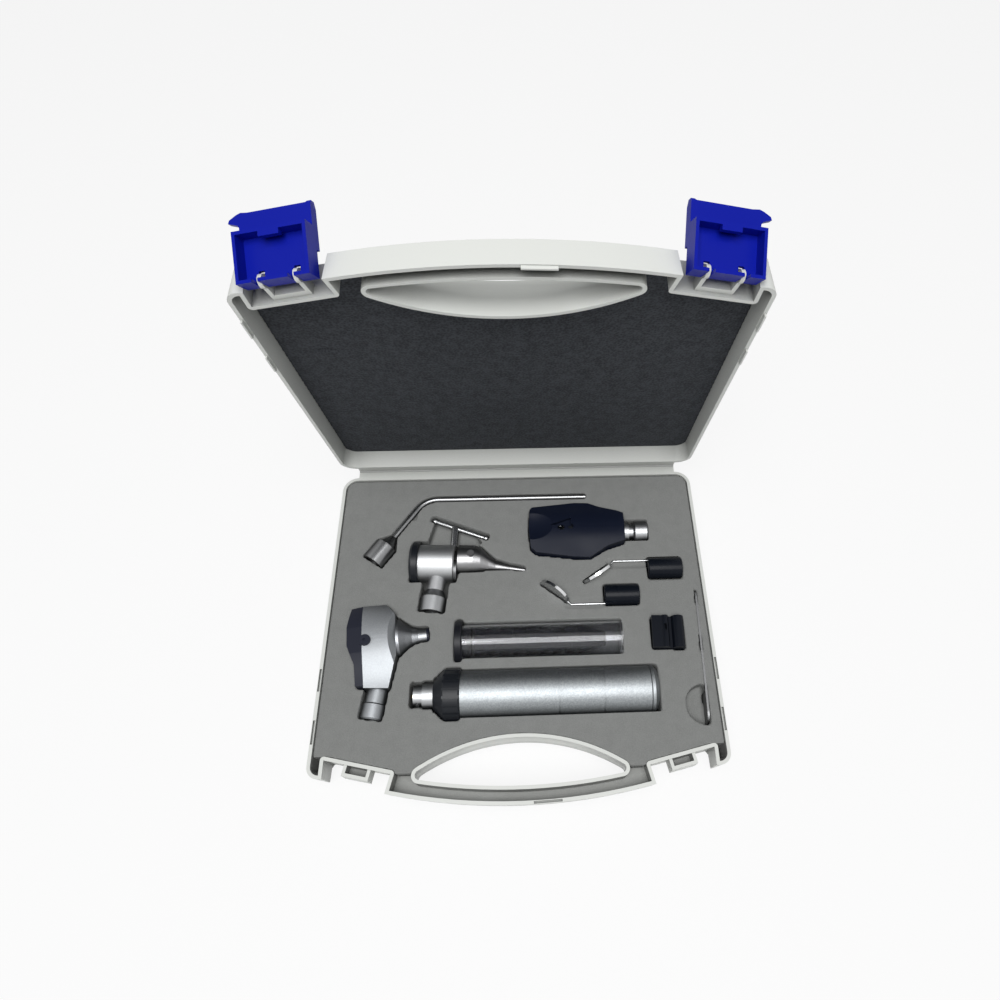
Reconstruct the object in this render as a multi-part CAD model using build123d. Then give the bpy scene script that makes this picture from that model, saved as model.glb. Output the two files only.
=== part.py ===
from build123d import *
import math
import os

# Carry case for an otoscope set: a moulded case that opens on a film hinge, two snap latches,
# die-cut foam in the base, flat foam in the lid, and the instruments lying in their pockets.
# Millimetres. X to the right, Y to the back, Z up. The origin is the centre of the base's underside.

# ---- case ----
CASE_W = 240.0
CASE_D = 196.0
BASE_H = 30.0
LID_H = 22.0
WALL = 2.0
DRAFT = 4.0
REAR_CORNER_R = 10.0
PRONG_CORNER_R = 7.0
EDGE_STEPS = ((1.6, 22.0), (1.4, 45.0), (0.8, 68.0))
BASE_SLOPE_FROM = CASE_D - 28.0
BASE_FRONT_H = 0.7 * BASE_H
LID_SLOPE_FROM = CASE_D - 31.0
LID_FRONT_H = LID_H - 7.0
PART_GAP = 0.15

# ---- front of the case: carrying handle and latch recesses ----
HANDLE_OUT = 17.0
HANDLE_FRONT_R = 350.0
HANDLE_BAR = 10.0
HANDLE_HALF_W = 75.5
HANDLE_FLARE = 2.5
HANDLE_DEPTH = 13.5
GRIP_HALF_W = HANDLE_HALF_W - 12.0
GRIP_DEEP = 26.0
GRIP_TIP_R = 2.5
GRIP_TRIM_R = 5.4
GRIP_TRIM_TOP = 11.0
PRONG_W = 9.0
RECESS_IN = HANDLE_HALF_W - HANDLE_FLARE
RECESS_OUT = CASE_W / 2 - PRONG_W
RECESS_IN_BACK = 1.5
RECESS_OUT_BACK = 10.0

# ---- hinge ----
HINGE_REACH = 5.2
HINGE_LENGTH = 220.0
FLANGE_T = 1.6
FILM_R = 0.8
FILM_GAP = 0.15
LID_OPEN = 80.0

# ---- rim tabs on the lid and their slots in the base ----
TAB_T = 0.9
TAB_H = 1.8
TAB_CLEAR = 0.2
SIDE_TABS = ((CASE_D - 62.0, CASE_D - 49.0), (CASE_D - 32.0, CASE_D - 19.0))
BAR_TABS = ((7.0, 22.5),)

# ---- latches ----
LATCH_X = (RECESS_IN + RECESS_OUT) / 2 + 2.0
LATCH_BACK = CASE_D + 4.4
LATCH_UP = 4.0
LATCH_SIDE_GAP = 2.3
LATCH_W = RECESS_OUT - RECESS_IN - 2 * LATCH_SIDE_GAP
LATCH_L = 31.8
LATCH_OVER = 2.2
LATCH_FACE = 1.8
LATCH_PLATE = 2.0
LATCH_WALL = 1.5
LATCH_DEEP = 8.2
LATCH_LEDGE = 19.8
LATCH_EAR = 6.2
LATCH_EAR_H = 7.0
LATCH_LIP_DIP = 1.4
LATCH_PANEL_T = 2.4
LATCH_PANEL_TOP = 10.0
LATCH_OPEN = 160.0
PIN_R = 1.6
PIN_CLEAR = 0.06
LUG_W = 0.55 * LATCH_W
LUG_R = 3.0
LUG_CLEAR = 0.4
LUG_ARM = 2.0
LUG_FOOT = 3.0
CATCH_W = 0.465 * LATCH_W
CATCH_OUT = 6.0
CATCH_WALL = 1.8
CATCH_DROP = 0.6
CATCH_GAP = 0.35
HOOK_W = 0.28 * LATCH_W
HOOK_H = 2.2
HOOK_T = 2.6

# ---- foam ----
FOAM_DROP = 1.0
FOAM_BACKING = 4.0
LID_FOAM_DROP = 11.5
POCKET_GAP = 0.4
FLOOR_GAP = 0.35

# ---- instruments: battery handle ----
GRIP_D = 28.0
GRIP_WALL = 0.8
GRIP_X0 = -35.2
GRIP_X1 = 77.3
GRIP_BACK = 0.7684 * CASE_D
GRIP_SINK = 5.5
GRIP_GROOVES = (23.0, 49.6)
GROOVE_W = 1.0
GROOVE_DEEP = 0.45
CAP_L = 5.3
CAP_SPIGOT = 6.0
CAP_SEAM = 0.6
END_GAP = 0.2
RING_D = 30.8
RING_L = 16.2
RING_NOSE_D = 17.5
RING_NOSE_L = 6.0
RING_RIBS = 20
PLUG_D = 16.0
PLUG_L = 6.4
PLUG_TIP_D = 12.4
PLUG_TIP_L = 5.4
PLUG_NECK_D = 11.0
CONTACT_R = 1.6
CELL_D = 25.8
CELL_L = 48.0
TURN_GAP = 0.05

# ---- instruments: clear tube of ear specula ----
TUBE_D = 21.2
TUBE_WALL = 1.0
TUBE_X0 = -35.2
TUBE_X1 = 63.4
TUBE_BACK = GRIP_BACK - 32.6
TUBE_SINK = 5.5
TUBE_CAP_D = 26.6
TUBE_CAP_T = 4.6
TUBE_CAP_PLUG = 5.0
TUBE_CAP_WALL = 1.2
SPECULA = 9
SPECULUM_L = 17.0
SPECULUM_R0 = 8.2
SPECULUM_R1 = 4.6
SPECULUM_WALL = 0.7

# ---- instruments: otoscope head, laid out in its own frame ----
OTO_X = -CASE_W / 2 + 29.8
OTO_BACK = 0.6071 * CASE_D
OTO_TURN = 6.0
OTO_T = 26.0
OTO_SINK = 5.5
OTO_SEAM_X = -4.6
OTO_BODY = ((9.8, 23.0), (15.2, 15.5), (15.2, -10.5), (9.8, -29.6))
OTO_BACK_Y = 23.8
OTO_DOME = ((-33.0, 9.2), (-18.0, 10.6), (-6.0, 12.6), (2.4, 13.0), (12.0, 12.0), (20.0, 9.6), (26.0, 6.0))
OTO_SLOPE_L = 4.4
OTO_SLOPE_DROP = 3.4
OTO_FRONT_Y = -27.6
OTO_FRAME = ((-11.4, 22.8), (-13.6, 10.0), (-13.6, -2.0), (-9.6, -13.5), (-9.4, -26.0))
OTO_NOSE_Y = 2.4
OTO_NOSE = ((15.2, 12.4), (16.8, 12.2), (20.4, 9.0), (24.2, 6.2), (28.0, 5.1), (33.0, 4.6))
OTO_TIP_L = 1.4
OTO_BORE_R = 7.5
OTO_LENS_R = 8.0
OTO_LAMP_R = 2.4
OTO_KNOB_R = 3.4
OTO_KNOB_X = -8.4
OTO_NECK_X = 2.2
OTO_NECK_TURN = -14.0
OTO_NECK_D = 12.6
OTO_NECK_L = 8.5
NECK_ROOT = 4.0
OTO_COLLAR_D = 14.0
OTO_COLLAR_L = 9.5

# ---- instruments: operating head with a split speculum ----
OPER_X = -CASE_W / 2 + 68.0
OPER_BACK = 0.3291 * CASE_D
OPER_TURN = 2.0
OPER_SINK = 4.5
OPER_D = 24.4
OPER_X0 = -12.6
OPER_X1 = 10.2
OPER_RING_D = 28.6
OPER_RING_T = 5.6
OPER_PLATE_D = 18.4
OPER_PLATE_T = 1.8
OPER_PLATE_Y = -4.4
OPER_CONE = (
    (12.4, 2.4, 10.1),
    (22.4, 2.7, 9.8),
    (27.0, 2.2, 8.6),
    (32.0, 0.1, 5.9),
    (36.8, -1.8, 3.8),
    (46.2, -3.1, 2.1),
    (56.0, -4.4, 1.5),
)
OPER_SHELL = 0.8
OPER_SPLIT = 0.4
OPER_BORE_R = 8.6
OPER_NECK_X = 0.2
OPER_NECK_TURN = -4.5
OPER_NECK_D = 11.0
OPER_NECK_L = 8.0
OPER_SOCKET_D = 16.6
OPER_SOCKET_L = 14.5
THUMB_BAR_D = 3.2
THUMB_BALL_R = 2.1
THUMB_BAR_L = 37.0
THUMB_STEM_D = 4.8
THUMB_STEM_X = 8.4
THUMB_X = 11.9
THUMB_Y = 24.9
THUMB_TURN = -19.8
THUMB_POCKET = ((-9.0, 12.0), (-5.0, 30.0), (12.0, 28.0), (28.0, 14.0), (20.0, 10.0))
THUMB_POCKET_DEEP = 5.0

# ---- instruments: bent-arm light ----
ARM_D = 3.8
ARM_BEND_R = 16.0
ARM_REACH = 109.7
ARM_BACK = 17.4
ARM_CORNER_X = -CASE_W / 2 + 56.5
ARM_ANGLE = 55.5
ARM_LEG = 25.6
ARM_TAPER_L = 8.0
ARM_SOCKET_D = 15.4
ARM_SOCKET_L = 14.0
ARM_SOCKET_BORE = 11.0
ARM_SINK = 2.5

# ---- instruments: ophthalmoscope head ----
OPH_X0 = CASE_W / 2 - 112.4
OPH_BACK = 0.2286 * CASE_D
OPH_T = 22.0
OPH_L = 62.6
OPH_END_Y = 10.0
OPH_BACK_EDGE = ((0.0, 14.6), (1.6, 16.8), (30.0, 20.2), (39.5, 19.8), (47.0, 16.0), (58.5, 12.2))
OPH_FRONT_EDGE = ((50.7, -13.6), (39.0, -20.6), (28.5, -20.0), (4.0, -16.6), (0.4, -13.4), (-0.8, 0.0))
OPH_DOME = ((-24.0, 5.4), (-16.0, 7.4), (-7.0, 10.2), (2.0, 11.0), (9.0, 9.8), (16.0, 7.2), (24.0, 5.2))
OPH_BROW_R = 30.0
OPH_BROW_REACH = 13.5
OPH_BROW_X = 1.6
OPH_BROW_Y = 2.0
OPH_NOTCH = ((13.5, 1.4), (27.4, 6.6), (27.4, -0.6))
OPH_NOTCH_DEEP = 3.2
OPH_WASHER_L = 3.6
OPH_WASHER_R = 6.8
OPH_WHEEL_X = 27.0
OPH_WINDOW_X = 20.7
OPH_WINDOW_R = 2.6
OPH_SINK = 4.0
OPH_NECK_D = 10.0
OPH_NECK_L = 6.6
OPH_SOCKET_D = 14.4
OPH_SOCKET_L = 9.8
WHEEL_D = 30.0
WHEEL_T = 4.0
WHEEL_HOLES = 8
WHEEL_HOLE_R = 1.8
WHEEL_AXLE_R = 2.0
WHEEL_AXLE_L = 14.0

# ---- instruments: two laryngeal mirrors, blade holder, tongue blade ----
SLEEVE_L = 22.2
SLEEVE_D = 13.8
SLEEVE_BORE = 9.6
MIRROR_A = (CASE_W / 2 - 36.1, 0.3719 * CASE_D, -33.0, -2.8, 5.3, 34.0, 20.0)
MIRROR_B = (CASE_W / 2 - 65.8, 0.4628 * CASE_D, -31.7, 2.4, -6.1, -38.1, 0.0)
STEM_D = 1.3
MIRROR_SINK = 2.0
MIRROR_D = 22.0
MIRROR_T = 1.8
MIRROR_RISE = 1.0
STEM_BEND = 2.1
HOLDER_X = CASE_W / 2 - 28.0
HOLDER_BACK = TUBE_BACK - 0.6
HOLDER_W = 20.2
HOLDER_T = 15.0
HOLDER_SINK = 3.0
HOLDER_STEP = 3.6
HOLDER_BLOCK = 6.4
HOLDER_RIDGE_X = -1.9
HOLDER_RIDGE_R = 2.4
HOLDER_ROLL_R = 3.9
BLADE_X = CASE_W / 2 - 8.2
BLADE_L = 86.0
BLADE_BACK = CASE_D - 66.0
BLADE_T = 1.2
BLADE_H = 17.0
BLADE_SINK = 0.5
BLADE_TURN = 1.9
FINGER_R = 12.0
FINGER_DEEP = 9.0
FINGER_X = BLADE_X - 1.8
FINGER_BACK = BLADE_BACK + 31.5

# ---- derived places ----
REAR_Y = CASE_D / 2
RIM_Z = BASE_H
LID_Z = RIM_Z + PART_GAP
HINGE_Y = REAR_Y + HINGE_REACH
HANDLE_D = CASE_D + HANDLE_OUT
SLANT = math.degrees(math.atan2(RECESS_OUT_BACK - RECESS_IN_BACK, RECESS_OUT - RECESS_IN))
FOAM_Z = RIM_Z - FOAM_DROP
BACKING_Z = WALL + FOAM_BACKING
ABOVE = 60.0
BIG = 600.0


def y_at(back):
    """Y of a place given as its distance from the outside of the rear wall."""
    return REAR_Y - back


def pt(x, back):
    return (x, y_at(back))


def recess_back(x):
    """Distance of the latch recess's wall from the rear wall, at x."""
    share = (abs(x) - RECESS_IN) / (RECESS_OUT - RECESS_IN)
    return CASE_D - RECESS_IN_BACK - share * (RECESS_OUT_BACK - RECESS_IN_BACK)


def front_arc_back(x, inset=0.0):
    """Distance of the handle's curved front from the rear wall, at x."""
    radius = HANDLE_FRONT_R - inset
    return HANDLE_D - HANDLE_FRONT_R + math.sqrt(radius**2 - x**2)


# ---------------------------------------------------------------- case outlines
def case_plan():
    """The whole outline at the parting plane, with both latch recesses and the curved handle front."""
    half = CASE_W / 2
    right = [
        pt(half, 0),
        pt(half, CASE_D),
        pt(RECESS_OUT, CASE_D),
        pt(RECESS_OUT, recess_back(RECESS_OUT)),
        pt(RECESS_IN, recess_back(RECESS_IN)),
        pt(HANDLE_HALF_W, front_arc_back(HANDLE_HALF_W)),
    ]
    left = [(-x, y) for x, y in reversed(right)]
    edges = Polyline(*right)
    edges += ThreePointArc(right[-1], pt(0, HANDLE_D), left[0])
    edges += Polyline(*left)
    edges += Line(left[-1], right[0])
    plan = make_face(edges)
    rear = [v for v in plan.vertices() if abs(v.Y - REAR_Y) < 0.01]
    plan = fillet(rear, REAR_CORNER_R)
    prongs = [v for v in plan.vertices() if abs(v.Y + REAR_Y) < 0.01 and abs(v.X) > half - 0.01]
    return fillet(prongs, PRONG_CORNER_R)


def grip_plan():
    """The hole for the fingers: a flat arc on the handle's side, a rounder arc on the case's side."""
    half = GRIP_HALF_W
    near = front_arc_back(0, HANDLE_BAR)
    tip = front_arc_back(half, HANDLE_BAR)
    edges = ThreePointArc(pt(half, tip), pt(0, near), pt(-half, tip))
    edges += ThreePointArc(pt(-half, tip), pt(0, near - GRIP_DEEP), pt(half, tip))
    return fillet(make_face(edges).vertices(), GRIP_TIP_R)


def body_plan():
    front = CASE_D + 1.0
    keep = Pos(0, y_at(front / 2)) * Rectangle(BIG, front)
    return case_plan() & keep


def handle_plan():
    back = recess_back(RECESS_IN) - 6.0
    depth = HANDLE_D - back + 5.0
    keep = Pos(0, y_at(back + depth / 2)) * Rectangle(2 * HANDLE_HALF_W, depth)
    return case_plan() & keep


def sunk(plan, depth):
    """A plan extruded down from z = 0, its walls leaning in by the mould's draft."""
    return extrude(plan, -depth, taper=DRAFT)


def lean(depth):
    return depth * math.tan(math.radians(DRAFT))


def moulded(plan, depth, limit):
    """A plan sunk to a depth, with the bottom edge rounded in steps wherever it lies behind a limit."""
    start = depth - sum(drop for drop, turn in EDGE_STEPS)
    solid = sunk(plan, start)
    keep = Pos(0, y_at(limit / 2 - BIG / 4)) * Rectangle(BIG, limit + BIG / 2)
    ring = offset(plan & keep, -lean(start))
    for drop, turn in EDGE_STEPS:
        solid += Pos(0, 0, -start) * extrude(ring, -drop, taper=turn)
        start += drop
        ring = offset(ring, -drop * math.tan(math.radians(turn)))
    return solid


def slope_cut(height, slope_from, front_height):
    """What lies outside the sloping front part of a half's big face."""
    rise = (height - front_height) / (HANDLE_D - slope_from)
    far = HANDLE_D + 20.0
    points = [
        (y_at(slope_from), -height),
        (y_at(far), -height + rise * (far - slope_from)),
        (y_at(far), -height - ABOVE),
        (y_at(slope_from), -height - ABOVE),
    ]
    side = make_face(Polyline(*points, close=True))
    return extrude(Plane.YZ * side, CASE_W, both=True)


def grip_cut(height, grown):
    """The finger hole right through a half, its walls drafted like the others."""
    plan = offset(grip_plan(), grown) if grown > 0 else grip_plan()
    return extrude(plan, -height, taper=-DRAFT)


def half_outside(height, slope_from, front_height):
    body = moulded(body_plan(), height, slope_from + 20.0)
    body -= slope_cut(height, slope_from, front_height)
    body += sunk(handle_plan(), HANDLE_DEPTH)
    return body - grip_cut(height, 0.0)


def half_inside(height, slope_from, front_height):
    """The hollow of a half, which its foam fills wall to wall."""
    body = moulded(offset(body_plan(), -WALL), height - WALL, slope_from + 18.0)
    body -= slope_cut(height - WALL, slope_from, front_height - WALL)
    return body - grip_cut(height, WALL)


def handle_channel():
    plan = offset(handle_plan(), -WALL) - offset(grip_plan(), WALL)
    return extrude(plan, WALL - HANDLE_DEPTH)


def half_shell(height, slope_from, front_height):
    shell = half_outside(height, slope_from, front_height)
    shell -= half_inside(height, slope_from, front_height)
    return shell - handle_channel()


def base_at():
    return Pos(0, 0, RIM_Z)


def lid_at():
    """Turns a half that hangs below z = 0 over, onto the closed parting plane."""
    return Pos(0, 0, LID_Z)


def lid_opened():
    return Pos(0, HINGE_Y, RIM_Z) * Rot(-LID_OPEN, 0, 0) * Pos(0, -HINGE_Y, -RIM_Z)


# ---------------------------------------------------------------- hinge flanges and rim tabs
def hinge_bead(radius, length):
    return Pos(0, HINGE_Y, RIM_Z) * Rot(0, 90, 0) * Cylinder(radius, length)


def flange(bottom, radius):
    """The strip that reaches out from the rear wall to the film hinge."""
    inner = REAR_Y - WALL / 2
    place = Pos(0, (inner + HINGE_Y) / 2, bottom + FLANGE_T / 2)
    strip = place * Box(HINGE_LENGTH, HINGE_Y - inner, FLANGE_T)
    return strip - hinge_bead(radius, HINGE_LENGTH + 2)


def make_film_hinge():
    return hinge_bead(FILM_R, HINGE_LENGTH)


def rim_tabs(clear):
    """The tongues on the lid's rim, in their closed places; with a clearance, their slots in the base."""
    thick = TAB_T + 2 * clear
    tall = TAB_H + clear
    z = RIM_Z + PART_GAP - tall / 2
    tabs = []
    for back0, back1 in SIDE_TABS:
        for side in (-1, 1):
            place = Pos(side * (CASE_W / 2 - WALL / 2), y_at((back0 + back1) / 2), z)
            tabs.append(place * Box(thick, back1 - back0 + 2 * clear, tall))
    for x0, x1 in BAR_TABS:
        x = (x0 + x1) / 2
        back = front_arc_back(x, WALL / 2)
        place = Pos(x, y_at(back), z) * Rot(0, 0, lean_at(x))
        tabs.append(place * Box(x1 - x0 + 2 * clear, thick, tall))
    return tabs


def lean_at(x):
    """How far the handle's front has turned from straight across, at x."""
    return math.degrees(math.asin(x / HANDLE_FRONT_R))


# ---------------------------------------------------------------- latches and catches
def latch_frame(side):
    """The closed latch's pin, with local X along the recess wall and local Y into the case."""
    return Pos(side * LATCH_X, y_at(LATCH_BACK), LID_Z + LATCH_UP) * Rot(0, 0, side * SLANT)


def wall_reach():
    """Distance from the latch's pin back to the recess wall."""
    run = LATCH_X - RECESS_IN
    ahead = LATCH_BACK - recess_back(RECESS_IN)
    turn = math.radians(SLANT)
    return run * math.sin(turn) + ahead * math.cos(turn)


def block(x0, x1, y0, y1, z0, z1):
    size = (x1 - x0, y1 - y0, z1 - z0)
    return Pos((x0 + x1) / 2, (y0 + y1) / 2, (z0 + z1) / 2) * Box(*size)


def catch_bottom():
    return -LATCH_LEDGE + LATCH_WALL + HOOK_H + CATCH_GAP


def make_catch(side):
    """The box on the base's recess wall that the latch hooks under, open on top."""
    top = -LATCH_UP - PART_GAP - CATCH_DROP
    front = wall_reach() - CATCH_OUT
    rear = wall_reach() + WALL - 0.3
    half = CATCH_W / 2
    room = half - CATCH_WALL
    floor = catch_bottom() + CATCH_WALL
    outside = block(-half, half, front, rear, catch_bottom(), top)
    inside = block(-room, room, front + CATCH_WALL, wall_reach(), floor, top + 1)
    return latch_frame(side) * (outside - inside)


def make_lug(side):
    """The foot on the lid's recess wall, with two arms that hold the latch's pin."""
    rear = wall_reach() + lean(LATCH_UP) + 0.8
    lug = block(-LUG_W / 2, LUG_W / 2, wall_reach() - LUG_FOOT, rear, -LUG_R + 0.8, LUG_R)
    for x in lug_arms():
        lug += block(x - LUG_ARM / 2, x + LUG_ARM / 2, 0, rear, -LUG_R + 0.8, LUG_R)
        lug += Pos(x, 0, 0) * Rot(0, 90, 0) * Cylinder(LUG_R, LUG_ARM)
    lug -= Rot(0, 90, 0) * Cylinder(PIN_R + PIN_CLEAR, LUG_W + 2)
    return latch_frame(side) * lug


def lug_arms():
    return [s * (LUG_W - LUG_ARM) / 2 for s in (-1, 1)]


def latch_panel(side, face, end):
    """The thick front panel: hollowed along its free edge, with a pointed ear on its outer corner."""
    half = LATCH_W / 2
    outer = [
        (half, -LATCH_PANEL_TOP),
        (half, end + LATCH_EAR_H),
        (half + 0.3 * LATCH_EAR, end + 0.55 * LATCH_EAR_H),
        (half + LATCH_EAR, end + 0.35 * LATCH_EAR_H),
        (half + 0.9 * LATCH_EAR, end + 0.15 * LATCH_EAR_H),
        (half + 0.35 * LATCH_EAR, end - LATCH_LIP_DIP / 2),
        (half, end - LATCH_LIP_DIP),
    ]
    inner = [
        (0, end + LATCH_LIP_DIP / 2),
        (-half + 5.0, end),
        (-half + 2.5, end - LATCH_LIP_DIP),
        (-half + 0.6, end - LATCH_LIP_DIP),
        (-half, end + 2.0),
        (-half, -LATCH_PANEL_TOP),
    ]
    outline = [(side * x, z) for x, z in outer + inner]
    panel = extrude(Plane.XZ * make_face(Polyline(*outline, close=True)), LATCH_PANEL_T)
    return Pos(0, face, 0) * panel


def make_latch(side):
    """A moulded latch, as it hangs closed: plate, walls, ledge with its hook, finger lip and ear."""
    half = LATCH_W / 2
    top = LATCH_OVER
    end = top - LATCH_L
    face = -LATCH_FACE
    inner = face + LATCH_PLATE
    deep = face + LATCH_DEEP
    ledge = -LATCH_LEDGE + LATCH_WALL
    room = half - LATCH_WALL
    latch = block(-half, half, face, inner, end, top) + latch_panel(side, face, end)
    walls = block(-half, half, face, deep, -LATCH_LEDGE, top)
    latch += walls - block(-room, room, face - 1, deep + 1, ledge, top - LATCH_WALL)
    latch += block(-HOOK_W / 2, HOOK_W / 2, deep - HOOK_T, deep, -LATCH_LEDGE, ledge + HOOK_H)
    slot = LUG_ARM / 2 + LUG_CLEAR
    slot_end = -LUG_R - 3 * LUG_CLEAR
    for x in lug_arms():
        latch -= block(x - slot, x + slot, face - 1, deep + 1, slot_end, top + 1)
    latch += Rot(0, 90, 0) * Cylinder(PIN_R, 2 * room + LATCH_WALL)
    return latch


def latch_placed(side):
    return lid_opened() * latch_frame(side) * Rot(-LATCH_OPEN, 0, 0) * make_latch(side)


# ---------------------------------------------------------------- the case's two halves
def make_base():
    shell = base_at() * half_shell(BASE_H, BASE_SLOPE_FROM, BASE_FRONT_H)
    shell += flange(RIM_Z - FLANGE_T, FILM_R)
    for side in (-1, 1):
        shell += make_catch(side)
    for slot in rim_tabs(TAB_CLEAR):
        shell -= slot
    return shell


def turned_over(solid):
    return lid_at() * mirror(solid, Plane.XY)


def make_lid():
    shell = turned_over(half_shell(LID_H, LID_SLOPE_FROM, LID_FRONT_H))
    shell += flange(LID_Z, FILM_R + FILM_GAP)
    for side in (-1, 1):
        shell += make_lug(side)
    for tab in rim_tabs(0.0):
        shell += tab
    return lid_opened() * shell


def prong_blocks(height):
    """The prongs' hollows and the ends of the handle's channel, where no foam goes."""
    back = recess_back(RECESS_OUT) - WALL
    half = CASE_W / 2
    wide = half - RECESS_OUT + WALL
    piece = Box(2 * wide, CASE_W, height + 2)
    return [Pos(s * half, y_at(back + half), -height / 2) * piece for s in (-1, 1)]


def foam_block(height, slope_from, front_height, drop, bottom):
    foam = half_inside(height, slope_from, front_height)
    foam -= Pos(0, 0, -drop / 2) * Box(BIG, BIG, drop)
    foam &= Pos(0, 0, -bottom / 2) * Box(BIG, BIG, bottom)
    for prong in prong_blocks(height):
        foam -= prong
    for corner in grip_corners():
        foam -= corner
    return foam


def grip_corners():
    """Where the foam is trimmed away low down, round the narrow ends of the finger hole."""
    back = front_arc_back(GRIP_HALF_W, HANDLE_BAR)
    low = GRIP_TRIM_TOP + BASE_H / 2
    return [Pos(s * GRIP_HALF_W, y_at(back), -low) * Cylinder(GRIP_TRIM_R, BASE_H) for s in (-1, 1)]


def make_base_foam(pockets):
    foam = foam_block(BASE_H, BASE_SLOPE_FROM, BASE_FRONT_H, FOAM_DROP, RIM_Z - BACKING_Z)
    foam = base_at() * foam
    for pocket in pockets:
        foam -= pocket
    return foam


def foam_joins():
    """Where the foam's blocks butt together, each as x0, x1 and the distances from the rear wall."""
    slot0 = GRIP_X0 - RING_L - 2 * TURN_GAP - POCKET_GAP
    slot1 = GRIP_X1 + CAP_L + END_GAP + POCKET_GAP
    slot_rear = GRIP_BACK - RING_D / 2 - POCKET_GAP
    slot_front = GRIP_BACK + RING_D / 2 + POCKET_GAP
    tube_rear = TUBE_BACK - TUBE_CAP_D / 2 - POCKET_GAP
    middle = OPH_X0 - 3 * POCKET_GAP
    tube_end = (TUBE_X1 + HOLDER_X - HOLDER_W / 2) / 2
    return {
        "foam_front": (-BIG, BIG, slot_front, BIG),
        "foam_left": (-BIG, slot0, tube_rear, slot_front),
        "foam_right": (slot1, BIG, slot_rear, slot_front),
        "foam_holder_bed": (tube_end, BIG, tube_rear, slot_rear),
        "foam_handle_bed": (slot0, slot1, slot_rear, slot_front),
        "foam_tube_bed": (slot0, tube_end, tube_rear, slot_rear),
        "foam_rear_left": (-BIG, middle, -BIG, tube_rear),
        "foam_rear_right": (middle, BIG, -BIG, tube_rear),
    }


def foam_blocks(foam):
    """The insert is glued up from blocks that meet along the edges of the two long slots."""
    blocks = {}
    for name, (x0, x1, back0, back1) in foam_joins().items():
        place = Pos((x0 + x1) / 2, y_at((back0 + back1) / 2), 0)
        blocks[name] = foam & place * Box(x1 - x0, back1 - back0, BIG)
    return blocks


def make_foam_backing():
    sheet = foam_block(BASE_H, BASE_SLOPE_FROM, BASE_FRONT_H, RIM_Z - BACKING_Z, BASE_H)
    return base_at() * sheet


def make_lid_foam():
    foam = foam_block(LID_H, LID_SLOPE_FROM, LID_FRONT_H, LID_FOAM_DROP, LID_H)
    return lid_opened() * turned_over(foam)


# ---------------------------------------------------------------- building blocks for the instruments
def rod_x(radius, x0, x1):
    """A round bar along X."""
    return Pos((x0 + x1) / 2, 0, 0) * Rot(0, 90, 0) * Cylinder(radius, x1 - x0)


def rod_y(radius, y0, y1):
    """A round bar along Y."""
    return Pos(0, (y0 + y1) / 2, 0) * Rot(90, 0, 0) * Cylinder(radius, y1 - y0)


def lathe_x(profile):
    """A solid turned about X from (x, radius) points; its first and last points close on the axis."""
    points = [(profile[0][0], 0.0)] + list(profile) + [(profile[-1][0], 0.0)]
    face = make_face(Polyline(*points, close=True))
    return revolve(face, Axis.X, 360)


def lathe_y(profile):
    """The same turned shape, with its length along -Y."""
    return Rot(0, 0, -90) * lathe_x(profile)


def seat(x, back, sink, turn=0.0):
    """Where an instrument's own frame lies: over a spot of the case, sunk below the rim, turned about Z."""
    return Pos(x, y_at(back), RIM_Z - sink) * Rot(0, 0, turn)


def hole(plan, bottom):
    """A pocket with upright walls over a flat plan, from a depth up through the foam's face."""
    return Pos(0, 0, bottom) * extrude(plan, ABOVE)


def plan_box(x0, x1, y0, y1, grow=POCKET_GAP):
    size = (x1 - x0 + 2 * grow, y1 - y0 + 2 * grow)
    return Pos((x0 + x1) / 2, (y0 + y1) / 2) * Rectangle(*size)


def plan_shape(points, grow=POCKET_GAP):
    return offset(make_face(Polyline(*points, close=True)), grow)


def domed_bar(section, length):
    """A bar along X, domed above and below: its section is given as (y, half height) points."""
    upper = Spline(*section)
    lower = Spline(*[(y, -z) for y, z in section])
    ends = Line(upper @ 0, lower @ 0) + Line(upper @ 1, lower @ 1)
    return extrude(Plane.YZ * make_face(upper + lower + ends), length, both=True)


# ---------------------------------------------------------------- battery handle
def grip_seat():
    return seat(0, GRIP_BACK, GRIP_SINK)


def make_handle_tube():
    radius = GRIP_D / 2
    tube = rod_x(radius, GRIP_X0, GRIP_X1) - rod_x(radius - GRIP_WALL, GRIP_X0 - 1, GRIP_X1 + 1)
    for x in GRIP_GROOVES:
        ring = rod_x(radius + 1, x - GROOVE_W / 2, x + GROOVE_W / 2)
        ring -= rod_x(radius - GROOVE_DEEP, x - GROOVE_W, x + GROOVE_W)
        tube -= ring
    return grip_seat() * tube


def make_handle_end_cap():
    radius = GRIP_D / 2
    x = GRIP_X1 + TURN_GAP
    end = x + CAP_L
    front = [(x, radius - CAP_SEAM), (x + CAP_SEAM, radius)]
    cap = lathe_x(front + [(end - 3.0, radius), (end - 0.8, radius - 2.2), (end, radius - 5.0)])
    spigot = GRIP_D / 2 - GRIP_WALL - TURN_GAP
    cap += rod_x(spigot, GRIP_X1 - CAP_SPIGOT, x + 1)
    cap -= rod_x(spigot - 2.0, GRIP_X1 - CAP_SPIGOT - 1, GRIP_X1 - 1.5)
    return grip_seat() * cap


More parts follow.
